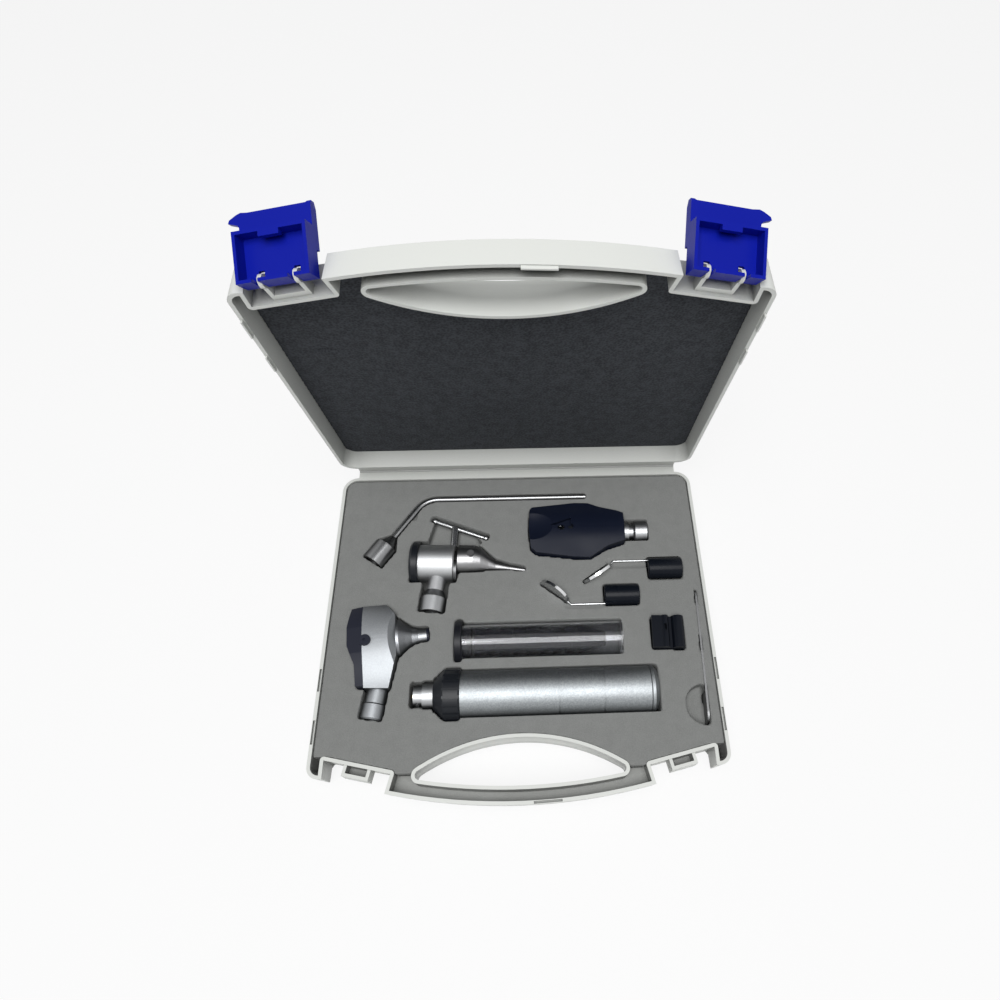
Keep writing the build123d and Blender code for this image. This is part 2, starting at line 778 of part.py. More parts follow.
def make_dimmer_ring():
    radius = RING_D / 2
    x1 = GRIP_X0 - TURN_GAP
    x0 = x1 - RING_L
    nose = x0 + RING_NOSE_L
    front = [(x0, RING_NOSE_D / 2), (nose, radius - 0.6), (nose + 0.8, radius)]
    ring = lathe_x(front + [(x1 - 0.8, radius), (x1, radius - 0.8)])
    ring -= rod_x(PLUG_NECK_D / 2 + TURN_GAP, x0 - 1, x1 + 1)
    for i in range(RING_RIBS):
        groove = Pos(0, 0, radius) * Box(2 * (x1 - nose) - 8, 1.8, 1.2)
        ring -= Rot(360.0 * i / RING_RIBS, 0, 0) * Pos(x1 - 4.0, 0, 0) * groove
    return grip_seat() * ring


def make_bayonet_connector():
    """The plug that the heads lock onto, with the neck and flange that hold it in the tube."""
    x1 = GRIP_X0 - TURN_GAP - RING_L - TURN_GAP
    flange_r = GRIP_D / 2 - GRIP_WALL - TURN_GAP / 2
    neck = rod_x(PLUG_NECK_D / 2, x1 - 1, GRIP_X0 + 1)
    plug = neck + rod_x(flange_r, GRIP_X0, GRIP_X0 + 4.0)
    head = x1 - PLUG_L
    plug += rod_x(PLUG_D / 2, head, x1)
    plug += rod_x(PLUG_TIP_D / 2, head - PLUG_TIP_L, head + 1)
    for turn in (0, 180):
        plug += Rot(turn + 60, 0, 0) * Pos(head - PLUG_TIP_L / 2, 0, PLUG_TIP_D / 2) * Cylinder(1.0, 2.0)
    plug -= rod_x(CONTACT_R, head - PLUG_TIP_L - 1, head)
    return grip_seat() * plug


def make_contact_stud():
    head = GRIP_X0 - 2 * TURN_GAP - RING_L - PLUG_L
    return grip_seat() * rod_x(CONTACT_R, head - PLUG_TIP_L - 1.0, head)


def make_battery_cell(index):
    x0 = GRIP_X0 + 4.0 + index * CELL_L + 0.1 * (index + 1)
    cell = rod_x(CELL_D / 2, x0, x0 + CELL_L - 1.5)
    cell += rod_x(3.0, x0, x0 + CELL_L)
    return grip_seat() * cell


def make_battery_spring():
    x0 = GRIP_X0 + 4.0 + 2 * CELL_L + 0.4
    room = GRIP_X1 - 1.5 - x0
    wire = 0.5
    path = Helix(pitch=(room - 2 * wire - 0.4) / 4, height=room - 2 * wire - 0.4, radius=6.0)
    section = Plane(origin=path @ 0, z_dir=path % 0) * Circle(wire)
    coil = sweep(section, path=path, is_frenet=True)
    return grip_seat() * Pos(x0 + wire + 0.1, 0, 0) * Rot(0, 90, 0) * coil


def grip_pocket():
    x0 = GRIP_X0 - RING_L - PLUG_L - PLUG_TIP_L - 2.0
    ring0 = GRIP_X0 - RING_L - 2 * TURN_GAP
    end = GRIP_X1 + CAP_L + END_GAP
    low = -RING_D / 2 - FLOOR_GAP
    plan = plan_box(ring0, end, -RING_D / 2, RING_D / 2)
    plan += plan_box(x0, ring0 + 1, -PLUG_D / 2, PLUG_D / 2)
    return grip_seat() * hole(plan, low)


# ---------------------------------------------------------------- clear tube of specula
def tube_seat():
    return seat(0, TUBE_BACK, TUBE_SINK)


def make_specula_tube():
    radius = TUBE_D / 2
    tube = rod_x(radius, TUBE_X0, TUBE_X1)
    return tube_seat() * (tube - rod_x(radius - TUBE_WALL, TUBE_X0 - 1, TUBE_X1 - 1.2))


def make_specula_cap():
    plug_r = TUBE_D / 2 - TUBE_WALL - TURN_GAP
    x1 = TUBE_X0 - TURN_GAP
    cap = rod_x(TUBE_CAP_D / 2, x1 - TUBE_CAP_T, x1)
    cap = chamfer(cap.edges().filter_by(GeomType.CIRCLE), 0.5)
    cap += rod_x(plug_r, x1 - 1, TUBE_X0 + TUBE_CAP_PLUG)
    cap -= rod_x(plug_r - TUBE_CAP_WALL, x1 - TUBE_CAP_T / 2, TUBE_X0 + TUBE_CAP_PLUG + 1)
    return tube_seat() * cap


def make_ear_specula():
    """The stack of funnels in the clear tube, each lying a step along from the last."""
    step = (TUBE_X1 - TUBE_X0 - 26.0) / SPECULA
    wide = SPECULUM_R0 - SPECULUM_WALL
    tip = SPECULUM_R1 - SPECULUM_WALL
    cone = lathe_x([(0, SPECULUM_R0), (1.0, SPECULUM_R0), (SPECULUM_L, SPECULUM_R1)])
    cone -= lathe_x([(-1, wide), (1.0, wide), (SPECULUM_L + 1, tip)])
    drop = SPECULUM_R0 - TUBE_D / 2 + TUBE_WALL + 0.1
    return [tube_seat() * Pos(TUBE_X0 + 7.0 + step * i, 0, drop) * cone for i in range(SPECULA)]


def tube_pocket():
    low = -TUBE_CAP_D / 2 - FLOOR_GAP
    plan = plan_box(TUBE_X0 - TUBE_CAP_T - 0.1, TUBE_X1, -TUBE_CAP_D / 2, TUBE_CAP_D / 2)
    return tube_seat() * hole(plan, low)


# ---------------------------------------------------------------- otoscope head
def oto_seat():
    return seat(OTO_X, OTO_BACK, OTO_SINK, OTO_TURN)


def oto_body_outline():
    return [(OTO_SEAM_X, OTO_BACK_Y)] + list(OTO_BODY) + [(OTO_SEAM_X, OTO_FRONT_Y)]


def oto_frame_outline():
    return [(OTO_SEAM_X, OTO_BACK_Y)] + list(OTO_FRAME) + [(OTO_SEAM_X, OTO_FRONT_Y + 1.0)]


def slab(outline, thickness):
    """An outline given thickness, half above and half below its own plane."""
    return extrude(make_face(Polyline(*outline, close=True)), thickness / 2, both=True)


def oto_sight(radius, x0, x1):
    """A round bar along the line of sight, from the lens to the tip of the nose."""
    return Pos(0, OTO_NOSE_Y, 0) * rod_x(radius, x0, x1)


def oto_neck_place():
    return Pos(OTO_NECK_X, OTO_FRONT_Y, 0) * Rot(0, 0, OTO_NECK_TURN)


def make_otoscope_body():
    body = slab(oto_body_outline(), OTO_T) & domed_bar(OTO_DOME, OTO_T)
    body &= oto_side_slopes()
    body += oto_neck_place() * rod_y(OTO_NECK_D / 2, -OTO_NECK_L, NECK_ROOT)
    body -= oto_sight(OTO_BORE_R, OTO_SEAM_X - 1, OTO_NOSE[0][0] + 1)
    body -= oto_knob(0.0)
    body -= oto_neck_place() * rod_y(OTO_LAMP_R, -OTO_NECK_L - 1, 20)
    return oto_seat() * body


def oto_side_slopes():
    """The body's side view seen along Y: its faces slope in towards the nose."""
    top = OTO_T / 2
    right = OTO_BODY[1][0]
    points = [(OTO_SEAM_X - 1, top), (right - OTO_SLOPE_L, top), (right + 1, top - OTO_SLOPE_DROP)]
    outline = points + [(x, -z) for x, z in reversed(points)]
    return extrude(Plane.XZ * make_face(Polyline(*outline, close=True)), BIG, both=True)


def oto_knob(clear):
    """The round knob on the seam between the body and the lens frame, sunk into both."""
    return Pos(OTO_KNOB_X + OTO_KNOB_R + 2.4, 0, OTO_T / 2) * Cylinder(OTO_KNOB_R + clear, 3.0)


def make_otoscope_lens_frame():
    frame = slab(oto_frame_outline(), OTO_T - 1.0) & domed_bar(OTO_DOME, OTO_T)
    frame -= oto_sight(OTO_LENS_R, -BIG, BIG)
    frame -= oto_neck_place() * rod_y(OTO_NECK_D / 2, -OTO_NECK_L, NECK_ROOT)
    return oto_seat() * (frame - oto_knob(0.0))


def make_otoscope_lens():
    middle = (OTO_SEAM_X + OTO_FRAME[1][0]) / 2
    return oto_seat() * oto_sight(OTO_LENS_R, middle - 1.2, middle + 1.2)


def make_otoscope_screw():
    knob = oto_knob(0.0)
    return oto_seat() * (knob - Pos(OTO_KNOB_X + OTO_KNOB_R + 2.4, 0, OTO_T / 2 + 1.5) * Cylinder(1.0, 1.6))


def make_otoscope_nose():
    """The trumpet-shaped metal nose that carries the ear speculum, hollow right through."""
    outside = lathe_x(OTO_NOSE)
    bores = [(x, min(r - 1.0, OTO_BORE_R)) for x, r in OTO_NOSE]
    inside = lathe_x([(OTO_NOSE[0][0] - 1, OTO_BORE_R)] + bores + [(OTO_NOSE[-1][0] + 1, bores[-1][1])])
    return oto_seat() * Pos(0, OTO_NOSE_Y, 0) * (outside - inside)


def make_otoscope_tip():
    """The black ring that ends the nose."""
    x0, radius = OTO_NOSE[-1]
    ring = oto_sight(radius, x0, x0 + OTO_TIP_L) - oto_sight(radius - 1.0, x0 - 1, x0 + OTO_TIP_L + 1)
    return oto_seat() * ring


def make_otoscope_collar():
    collar = rod_y(OTO_COLLAR_D / 2, -OTO_NECK_L - OTO_COLLAR_L, -OTO_NECK_L)
    collar = chamfer(collar.edges().filter_by(GeomType.CIRCLE), 0.8)
    collar -= rod_y(OTO_COLLAR_D / 2 - 1.6, -OTO_NECK_L - OTO_COLLAR_L - 1, -OTO_NECK_L - 1.5)
    return oto_seat() * oto_neck_place() * collar


def make_otoscope_lamp():
    lamp = rod_y(OTO_LAMP_R, -OTO_NECK_L, 4.0) + Pos(0, 4.0, 0) * Sphere(OTO_LAMP_R)
    return oto_seat() * oto_neck_place() * lamp


def oto_pocket():
    plan = plan_shape(oto_body_outline()) + plan_shape(oto_frame_outline())
    tip = OTO_NOSE[-1][0] + OTO_TIP_L
    funnel = [(x, r) for x, r in OTO_NOSE] + [(tip, OTO_NOSE[-1][1])]
    funnel = [(funnel[0][0] - 1, funnel[0][1])] + funnel
    plan += Pos(0, OTO_NOSE_Y) * plan_shape(mirrored_outline(funnel))
    length = OTO_NECK_L + OTO_COLLAR_L
    collar = plan_box(-OTO_COLLAR_D / 2, OTO_COLLAR_D / 2, -length, 4.0)
    plan += oto_neck_place() * collar
    return oto_seat() * hole(plan, -OTO_T / 2 - FLOOR_GAP)


def mirrored_outline(points):
    """An outline made of points above the X axis and their mirror images below it."""
    return list(points) + [(x, -y) for x, y in reversed(points)]


# ---------------------------------------------------------------- operating head
def oper_seat():
    return seat(OPER_X, OPER_BACK, OPER_SINK, -OPER_TURN)


def oper_neck_place():
    return Pos(OPER_NECK_X, 0, 0) * Rot(0, 0, OPER_NECK_TURN)


def make_operating_body():
    body = lathe_x([(OPER_X0, OPER_D / 2), (OPER_X1 - 0.8, OPER_D / 2), (OPER_X1, OPER_D / 2 - 0.8)])
    body += oper_neck_place() * rod_y(OPER_NECK_D / 2, -OPER_D / 2 - OPER_NECK_L, -OPER_BORE_R - 1.0)
    body -= rod_x(OPER_BORE_R, OPER_X0 - 1, OPER_X1 + 1)
    return oper_seat() * body


def make_operating_ring():
    radius = OPER_RING_D / 2
    end = OPER_X0 - OPER_RING_T
    front = [(end, radius - 1.6), (end + 1.6, radius)]
    ring = lathe_x(front + [(OPER_X0 - 0.6, radius), (OPER_X0, radius - 0.6)])
    return oper_seat() * (ring - rod_x(OPER_BORE_R, end - 1, OPER_X0 + 1))


def make_operating_plate():
    """The black seat between the body and the speculum."""
    plate = Pos(0, OPER_PLATE_Y, 0) * rod_x(OPER_PLATE_D / 2, OPER_X1, OPER_X1 + OPER_PLATE_T)
    return oper_seat() * (plate - rod_x(OPER_BORE_R, OPER_X1 - 1, OPER_X1 + OPER_PLATE_T + 1))


def cone_section(x, y, radius):
    return Plane(origin=(x, y, 0), x_dir=(0, 1, 0), z_dir=(1, 0, 0)) * Circle(radius)


def oper_cone(inward):
    """The speculum's outside, or with inward its hollow: it droops as it narrows."""
    first = OPER_CONE[0][0]
    last = OPER_CONE[-1][0]
    sections = []
    for x, y, radius in OPER_CONE:
        reach = inward * ((x == last) - (x == first))
        sections.append(cone_section(x + reach, y, radius - inward * OPER_SHELL))
    return loft(sections, ruled=True)


def make_speculum_half(sign):
    """One blade of the split speculum; sign says whether it is the lower or the upper one."""
    cone = oper_cone(0) - oper_cone(1)
    keep = Pos(0, 0, sign * (BIG / 2 + OPER_SPLIT / 2)) * Box(BIG, BIG, BIG)
    return oper_seat() * (cone & keep)


def thumb_place():
    return Pos(THUMB_X, THUMB_Y, 0) * Rot(0, 0, THUMB_TURN)


def thumb_rod():
    return thumb_place() * rod_x(THUMB_BAR_D / 2, -THUMB_BAR_L / 2, THUMB_BAR_L / 2)


def make_thumb_bar():
    bar = thumb_rod()
    for x in (-THUMB_BAR_L / 2, THUMB_BAR_L / 2):
        bar += thumb_place() * Pos(x, 0, 0) * Sphere(THUMB_BALL_R)
    return oper_seat() * bar


def make_thumb_stem():
    stem = Pos(THUMB_STEM_X, 0, 0) * rod_y(THUMB_STEM_D / 2, OPER_D / 2 - 1.2, THUMB_Y + 4.0)
    barrel = rod_x(OPER_D / 2, 2 * OPER_X0, 2 * OPER_X1)
    above = thumb_place() * Pos(0, BIG / 2, 0) * Box(BIG, BIG, BIG)
    return oper_seat() * (stem - thumb_rod() - barrel - above)


def make_operating_screw():
    x, y, radius = OPER_CONE[1]
    screw = Pos(x - 1.5, y, radius) * Cylinder(2.2, 3.0)
    return oper_seat() * (screw - oper_cone(0))


def make_operating_socket():
    start = OPER_D / 2 + OPER_NECK_L
    end = start + OPER_SOCKET_L
    radius = OPER_SOCKET_D / 2
    socket = lathe_y([(start, OPER_NECK_D / 2 + 0.6), (start + 5.0, radius), (end, radius - 0.4)])
    socket -= rod_y(radius - 1.8, -end - 1, -start - 5.5)
    return oper_seat() * oper_neck_place() * socket


def oper_pocket():
    end = OPER_D / 2 + OPER_NECK_L + OPER_SOCKET_L
    plan = plan_box(OPER_X0 - OPER_RING_T, OPER_X1 + OPER_PLATE_T, -OPER_RING_D / 2, OPER_RING_D / 2)
    upper = [(x, y + r) for x, y, r in OPER_CONE]
    lower = [(x, y - r) for x, y, r in reversed(OPER_CONE)]
    plan += plan_shape([(OPER_X1, upper[0][1])] + upper + lower + [(OPER_X1, lower[-1][1])])
    plan += oper_neck_place() * plan_box(-OPER_SOCKET_D / 2, OPER_SOCKET_D / 2, -end, 0)
    pocket = hole(plan, -OPER_RING_D / 2 - FLOOR_GAP)
    bar_end = THUMB_BAR_L / 2 + THUMB_BALL_R
    bar = thumb_place() * plan_box(-bar_end, bar_end, -THUMB_BALL_R, THUMB_BALL_R)
    pocket += hole(bar, -THUMB_POCKET_DEEP)
    pocket += hole(plan_shape(THUMB_POCKET, 0.01), -THUMB_POCKET_DEEP)
    return oper_seat() * pocket


# ---------------------------------------------------------------- bent-arm light
def arm_seat():
    return seat(ARM_CORNER_X, ARM_BACK, ARM_SINK)


def arm_tangent():
    return ARM_BEND_R * math.tan(math.radians(ARM_ANGLE / 2))


def arm_leg():
    """The leg's own frame at the bend's end: local -X runs down the leg towards the socket."""
    return Rot(0, 0, ARM_ANGLE) * Pos(-arm_tangent(), 0, 0)


def make_bent_arm_tube():
    tangent = arm_tangent()
    straight = Line((ARM_REACH, 0), (tangent, 0))
    bend = JernArc(start=(tangent, 0), tangent=(-1, 0), radius=ARM_BEND_R, arc_size=ARM_ANGLE)
    path = straight + bend
    section = Plane(origin=(ARM_REACH, 0, 0), z_dir=(-1, 0, 0)) * Circle(ARM_D / 2)
    tube = sweep(section, path=path)
    leg = lathe_x([(-ARM_LEG, ARM_D / 2), (0, ARM_D / 2)])
    taper = lathe_x([(-ARM_LEG - ARM_TAPER_L, ARM_SOCKET_D / 2 - 1.0), (-ARM_LEG, ARM_D / 2)])
    return arm_seat() * (tube + arm_leg() * (leg + taper))


def make_bent_arm_socket():
    start = -ARM_LEG - ARM_TAPER_L
    socket = lathe_x([(start - ARM_SOCKET_L, ARM_SOCKET_D / 2), (start, ARM_SOCKET_D / 2)])
    socket -= rod_x(ARM_SOCKET_BORE / 2, start - ARM_SOCKET_L - 1, start - 2.0)
    return arm_seat() * arm_leg() * socket


def make_bent_arm_insulator():
    start = -ARM_LEG - ARM_TAPER_L
    return arm_seat() * arm_leg() * rod_x(ARM_SOCKET_BORE / 2, start - 6.0, start - 2.0)


def arm_pocket():
    tangent = arm_tangent()
    end = -ARM_LEG - ARM_TAPER_L - ARM_SOCKET_L
    low = -ARM_SOCKET_D / 2 - FLOOR_GAP
    thin = -ARM_D / 2 - FLOOR_GAP
    plan = plan_box(tangent - 1, ARM_REACH, -ARM_D / 2, ARM_D / 2)
    outer = ARM_BEND_R + ARM_D / 2 + POCKET_GAP
    ring = Circle(outer) - Circle(outer - ARM_D - 2 * POCKET_GAP)
    plan += Pos(tangent, -ARM_BEND_R) * (ring & Pos(-BIG / 2, BIG / 2) * Rectangle(BIG, BIG))
    leg = Rot(0, 0, ARM_ANGLE) * Pos(-tangent, 0) * plan_box(-ARM_LEG, 1, -ARM_D / 2, ARM_D / 2)
    pocket = hole(plan, thin) + hole(leg, thin)
    socket = [(-ARM_LEG, ARM_D / 2), (-ARM_LEG - ARM_TAPER_L, ARM_SOCKET_D / 2), (end, ARM_SOCKET_D / 2)]
    socket += [(x, -y) for x, y in reversed(socket)]
    pocket += Rot(0, 0, ARM_ANGLE) * Pos(-tangent, 0) * hole(plan_shape(socket), low)
    return arm_seat() * pocket


# ---------------------------------------------------------------- ophthalmoscope head
def oph_seat():
    return seat(OPH_X0, OPH_BACK, OPH_SINK)


def oph_outline():
    return list(OPH_BACK_EDGE) + [(OPH_L, OPH_END_Y), (OPH_L, -OPH_END_Y)] + list(OPH_FRONT_EDGE)


def wheel_slot():
    return Pos(OPH_WHEEL_X, 0, 0) * Cylinder(WHEEL_D / 2 + 0.4, WHEEL_T + 0.5)


def make_ophthalmoscope_shell(sign):
    """Half of the housing, above or below the level of the lens wheel's middle."""
    face = make_face(Polyline(*oph_outline(), close=True))
    half = extrude(face, sign * OPH_T / 2)
    half &= domed_bar(OPH_DOME, 2 * OPH_L)
    half -= wheel_slot()
    half -= Pos(OPH_WHEEL_X, 0, 0) * Cylinder(WHEEL_AXLE_R, OPH_T)
    half -= Pos(OPH_WINDOW_X, 0, 0) * Cylinder(OPH_WINDOW_R, 2 * OPH_T)
    if sign > 0:
        half -= oph_brow() + oph_notch()
    return oph_seat() * half


def oph_brow():
    """The shallow round hollow at the free end that rests against the eyebrow."""
    rise = math.sqrt(OPH_BROW_R**2 - OPH_BROW_REACH**2)
    return Pos(OPH_BROW_X, OPH_BROW_Y, OPH_T / 2 + rise) * Sphere(OPH_BROW_R)


def oph_notch():
    """The dark wedge-shaped notch beside the window."""
    wedge = make_face(Polyline(*OPH_NOTCH, close=True))
    return Pos(0, 0, OPH_T / 2 - OPH_NOTCH_DEEP) * extrude(wedge, ABOVE)


def make_ophthalmoscope_window():
    return oph_seat() * Pos(OPH_WINDOW_X, 0, OPH_T / 2 - 4.6) * Cylinder(OPH_WINDOW_R, 2.0)


def make_ophthalmoscope_wheel():
    """The disc of lenses: a ring of holes, any of which can be turned under the window."""
    wheel = Cylinder(WHEEL_D / 2, WHEEL_T)
    reach = OPH_WINDOW_X - OPH_WHEEL_X
    for i in range(WHEEL_HOLES):
        wheel -= Rot(0, 0, 360.0 * i / WHEEL_HOLES) * Pos(reach, 0, 0) * Cylinder(WHEEL_HOLE_R, WHEEL_T + 1)
    wheel += Cylinder(WHEEL_AXLE_R - TURN_GAP, WHEEL_AXLE_L)
    return oph_seat() * Pos(OPH_WHEEL_X, 0, 0) * wheel


def make_ophthalmoscope_neck():
    """A wide washer against the housing, then the slimmer neck itself."""
    radius = OPH_NECK_D / 2
    washer = OPH_L + OPH_WASHER_L
    front = [(OPH_L, OPH_WASHER_R), (washer, OPH_WASHER_R)]
    neck = lathe_x(front + [(washer, radius), (OPH_L + OPH_NECK_L, radius)])
    return oph_seat() * neck


def make_ophthalmoscope_socket():
    start = OPH_L + OPH_NECK_L
    end = start + OPH_SOCKET_L
    radius = OPH_SOCKET_D / 2
    front = [(start, radius - 1.2), (start + 1.2, radius)]
    socket = lathe_x(front + [(end - 0.8, radius), (end, radius - 0.8)])
    return oph_seat() * (socket - rod_x(radius - 2.0, start + 3.0, end + 1))


def oph_pocket():
    end = OPH_L + OPH_NECK_L + OPH_SOCKET_L
    plan = plan_shape(oph_outline())
    plan += plan_box(OPH_L - 1, end, -OPH_SOCKET_D / 2 - 0.4, OPH_SOCKET_D / 2 + 0.4)
    return oph_seat() * hole(plan, -OPH_T / 2 - FLOOR_GAP)


# ---------------------------------------------------------------- laryngeal mirrors
def mirror_seat(spec):
    return seat(spec[0], spec[1], MIRROR_SINK)


def mirror_disc_place(spec):
    """The disc's own frame in the sleeve's: local X level along it, local Y up its face."""
    x0, back, disc_x, disc_y, aside, turn, leaning = spec
    place = Pos(disc_x, disc_y, MIRROR_RISE)
    return place * Rot(0, 0, turn) * Rot(90 + leaning, 0, 0)


def mirror_lift(spec):
    """How far the mirror moves along Y for each millimetre that it is drawn up, in the plane of its disc."""
    turn = math.radians(spec[5])
    return -math.tan(math.radians(spec[6])) / math.cos(turn)


def bar_between(start, end, radius):
    reach = Vector(*end) - Vector(*start)
    bar = Plane(origin=start, z_dir=reach) * Pos(0, 0, reach.length / 2) * Cylinder(radius, reach.length)
    return bar + Pos(*start) * Sphere(radius)


def make_mirror_sleeve(spec):
    sleeve = rod_x(SLEEVE_D / 2, 0, SLEEVE_L)
    sleeve = chamfer(sleeve.edges().filter_by(GeomType.CIRCLE), 0.6)
    sleeve -= rod_x(SLEEVE_BORE / 2, 4.0, SLEEVE_L + 1)
    sleeve -= Pos(0, spec[4], MIRROR_RISE) * rod_x(STEM_D / 2, -1, 2.5)
    return mirror_seat(spec) * sleeve


def make_mirror_disc(spec):
    return mirror_seat(spec) * mirror_disc_place(spec) * Cylinder(MIRROR_D / 2, MIRROR_T)


def make_mirror_stem(spec):
    x0, back, disc_x, disc_y, aside, turn, leaning = spec
    reach = MIRROR_D / 2 - 0.5
    end_x = disc_x + reach * math.cos(math.radians(turn))
    end_y = disc_y + reach * math.sin(math.radians(turn))
    bend = (end_x + STEM_BEND, aside, MIRROR_RISE)
    stem = bar_between((2.5, aside, MIRROR_RISE), bend, STEM_D / 2)
    stem += bar_between(bend, (end_x, end_y, MIRROR_RISE), STEM_D / 2)
    stem &= Pos(2.5 - BIG / 2, 0, 0) * Box(BIG, BIG, BIG)
    return mirror_seat(spec) * (stem - mirror_disc_place(spec) * Cylinder(MIRROR_D / 2, MIRROR_T))


def mirror_pocket(spec):
    """Slits and a trough that let the mirror be drawn up in the plane of its disc."""
    x0, back, disc_x, disc_y, aside, turn, leaning = spec
    slope = mirror_lift(spec)
    way = Vector(0, slope, 1)
    radius = SLEEVE_D / 2 + POCKET_GAP
    wide = radius * math.sqrt(1 + slope**2)
    low = -radius
    trough = Pos(SLEEVE_L / 2, slope * low, low) * Rectangle(SLEEVE_L + 2 * POCKET_GAP, 2 * wide)
    pocket = extrude(trough, ABOVE, dir=way)
    groove_low = MIRROR_RISE - STEM_D / 2 - FLOOR_GAP
    end = disc_x + (MIRROR_D / 2) * math.cos(math.radians(turn))
    end_y = disc_y + (MIRROR_D / 2) * math.sin(math.radians(turn))
    half = abs(end_y - aside) / 2 + 2 * STEM_D
    end -= 2 * STEM_D
    groove = Pos(end / 2, (end_y + aside) / 2, groove_low) * Rectangle(-end, 2 * half)
    pocket += extrude(groove, ABOVE, dir=way)
    disc_r = MIRROR_D / 2 + POCKET_GAP
    rake = math.degrees(math.tan(math.radians(turn)) * math.sin(math.radians(leaning)))
    slit = Circle(disc_r) + Rot(0, 0, rake) * Pos(0, ABOVE / 2) * Rectangle(2 * disc_r, ABOVE)
    pocket += mirror_disc_place(spec) * extrude(slit, MIRROR_T / 2 + POCKET_GAP, both=True)
    return mirror_seat(spec) * pocket


# ---------------------------------------------------------------- blade holder, tongue blade, finger recess
def holder_seat():
    return seat(HOLDER_X, HOLDER_BACK, HOLDER_SINK, -2.0)


def make_blade_holder():
    half = HOLDER_W / 2
    top = HOLDER_T / 2
    holder = block(-half, half, -half, half, -top, top - HOLDER_STEP)
    holder += block(-half, -half + HOLDER_BLOCK, -half, half, -top, top - 1.0)
    ridge_z = top - HOLDER_RIDGE_R
    holder += Pos(HOLDER_RIDGE_X, 0, ridge_z) * rod_y(HOLDER_RIDGE_R, -half, half)
    roll_z = top - HOLDER_ROLL_R
    holder += Pos(half - HOLDER_ROLL_R, 0, roll_z) * rod_y(HOLDER_ROLL_R, -half, half)
    holder -= Pos(HOLDER_RIDGE_X, 2.4, top) * Box(1.6, 4.0, 9.0)
    return holder_seat() * holder


def holder_pocket():
    half = HOLDER_W / 2
    return holder_seat() * hole(plan_box(-half, half, -half, half), -HOLDER_T / 2 - FLOOR_GAP)


def blade_seat():
    return seat(BLADE_X, BLADE_BACK, BLADE_SINK + BLADE_H / 2, -BLADE_TURN)


def make_tongue_blade():
    blade = Box(BLADE_T, BLADE_L, BLADE_H)
    return blade_seat() * fillet(blade.edges().filter_by(Axis.X), BLADE_H / 2 - 1.0)


def blade_pocket():
    plan = plan_box(-BLADE_T / 2, BLADE_T / 2, -BLADE_L / 2, BLADE_L / 2)
    return blade_seat() * hole(plan, -BLADE_H / 2 - FLOOR_GAP)


def finger_recess():
    """A half-moon beside the tongue blade, for a fingertip to lift it."""
    moon = Circle(FINGER_R) & Pos(-FINGER_R, 0) * Rectangle(2 * FINGER_R, 3 * FINGER_R)
    return Pos(FINGER_X, y_at(FINGER_BACK), FOAM_Z - FINGER_DEEP) * extrude(moon, ABOVE)


# ---------------------------------------------------------------- everything together
def make_pockets():
    pockets = [grip_pocket(), tube_pocket(), oto_pocket(), oper_pocket(), arm_pocket(), oph_pocket()]
    pockets += [mirror_pocket(MIRROR_A), mirror_pocket(MIRROR_B)]
    pockets += [holder_pocket(), blade_pocket(), finger_recess()]
    return pockets


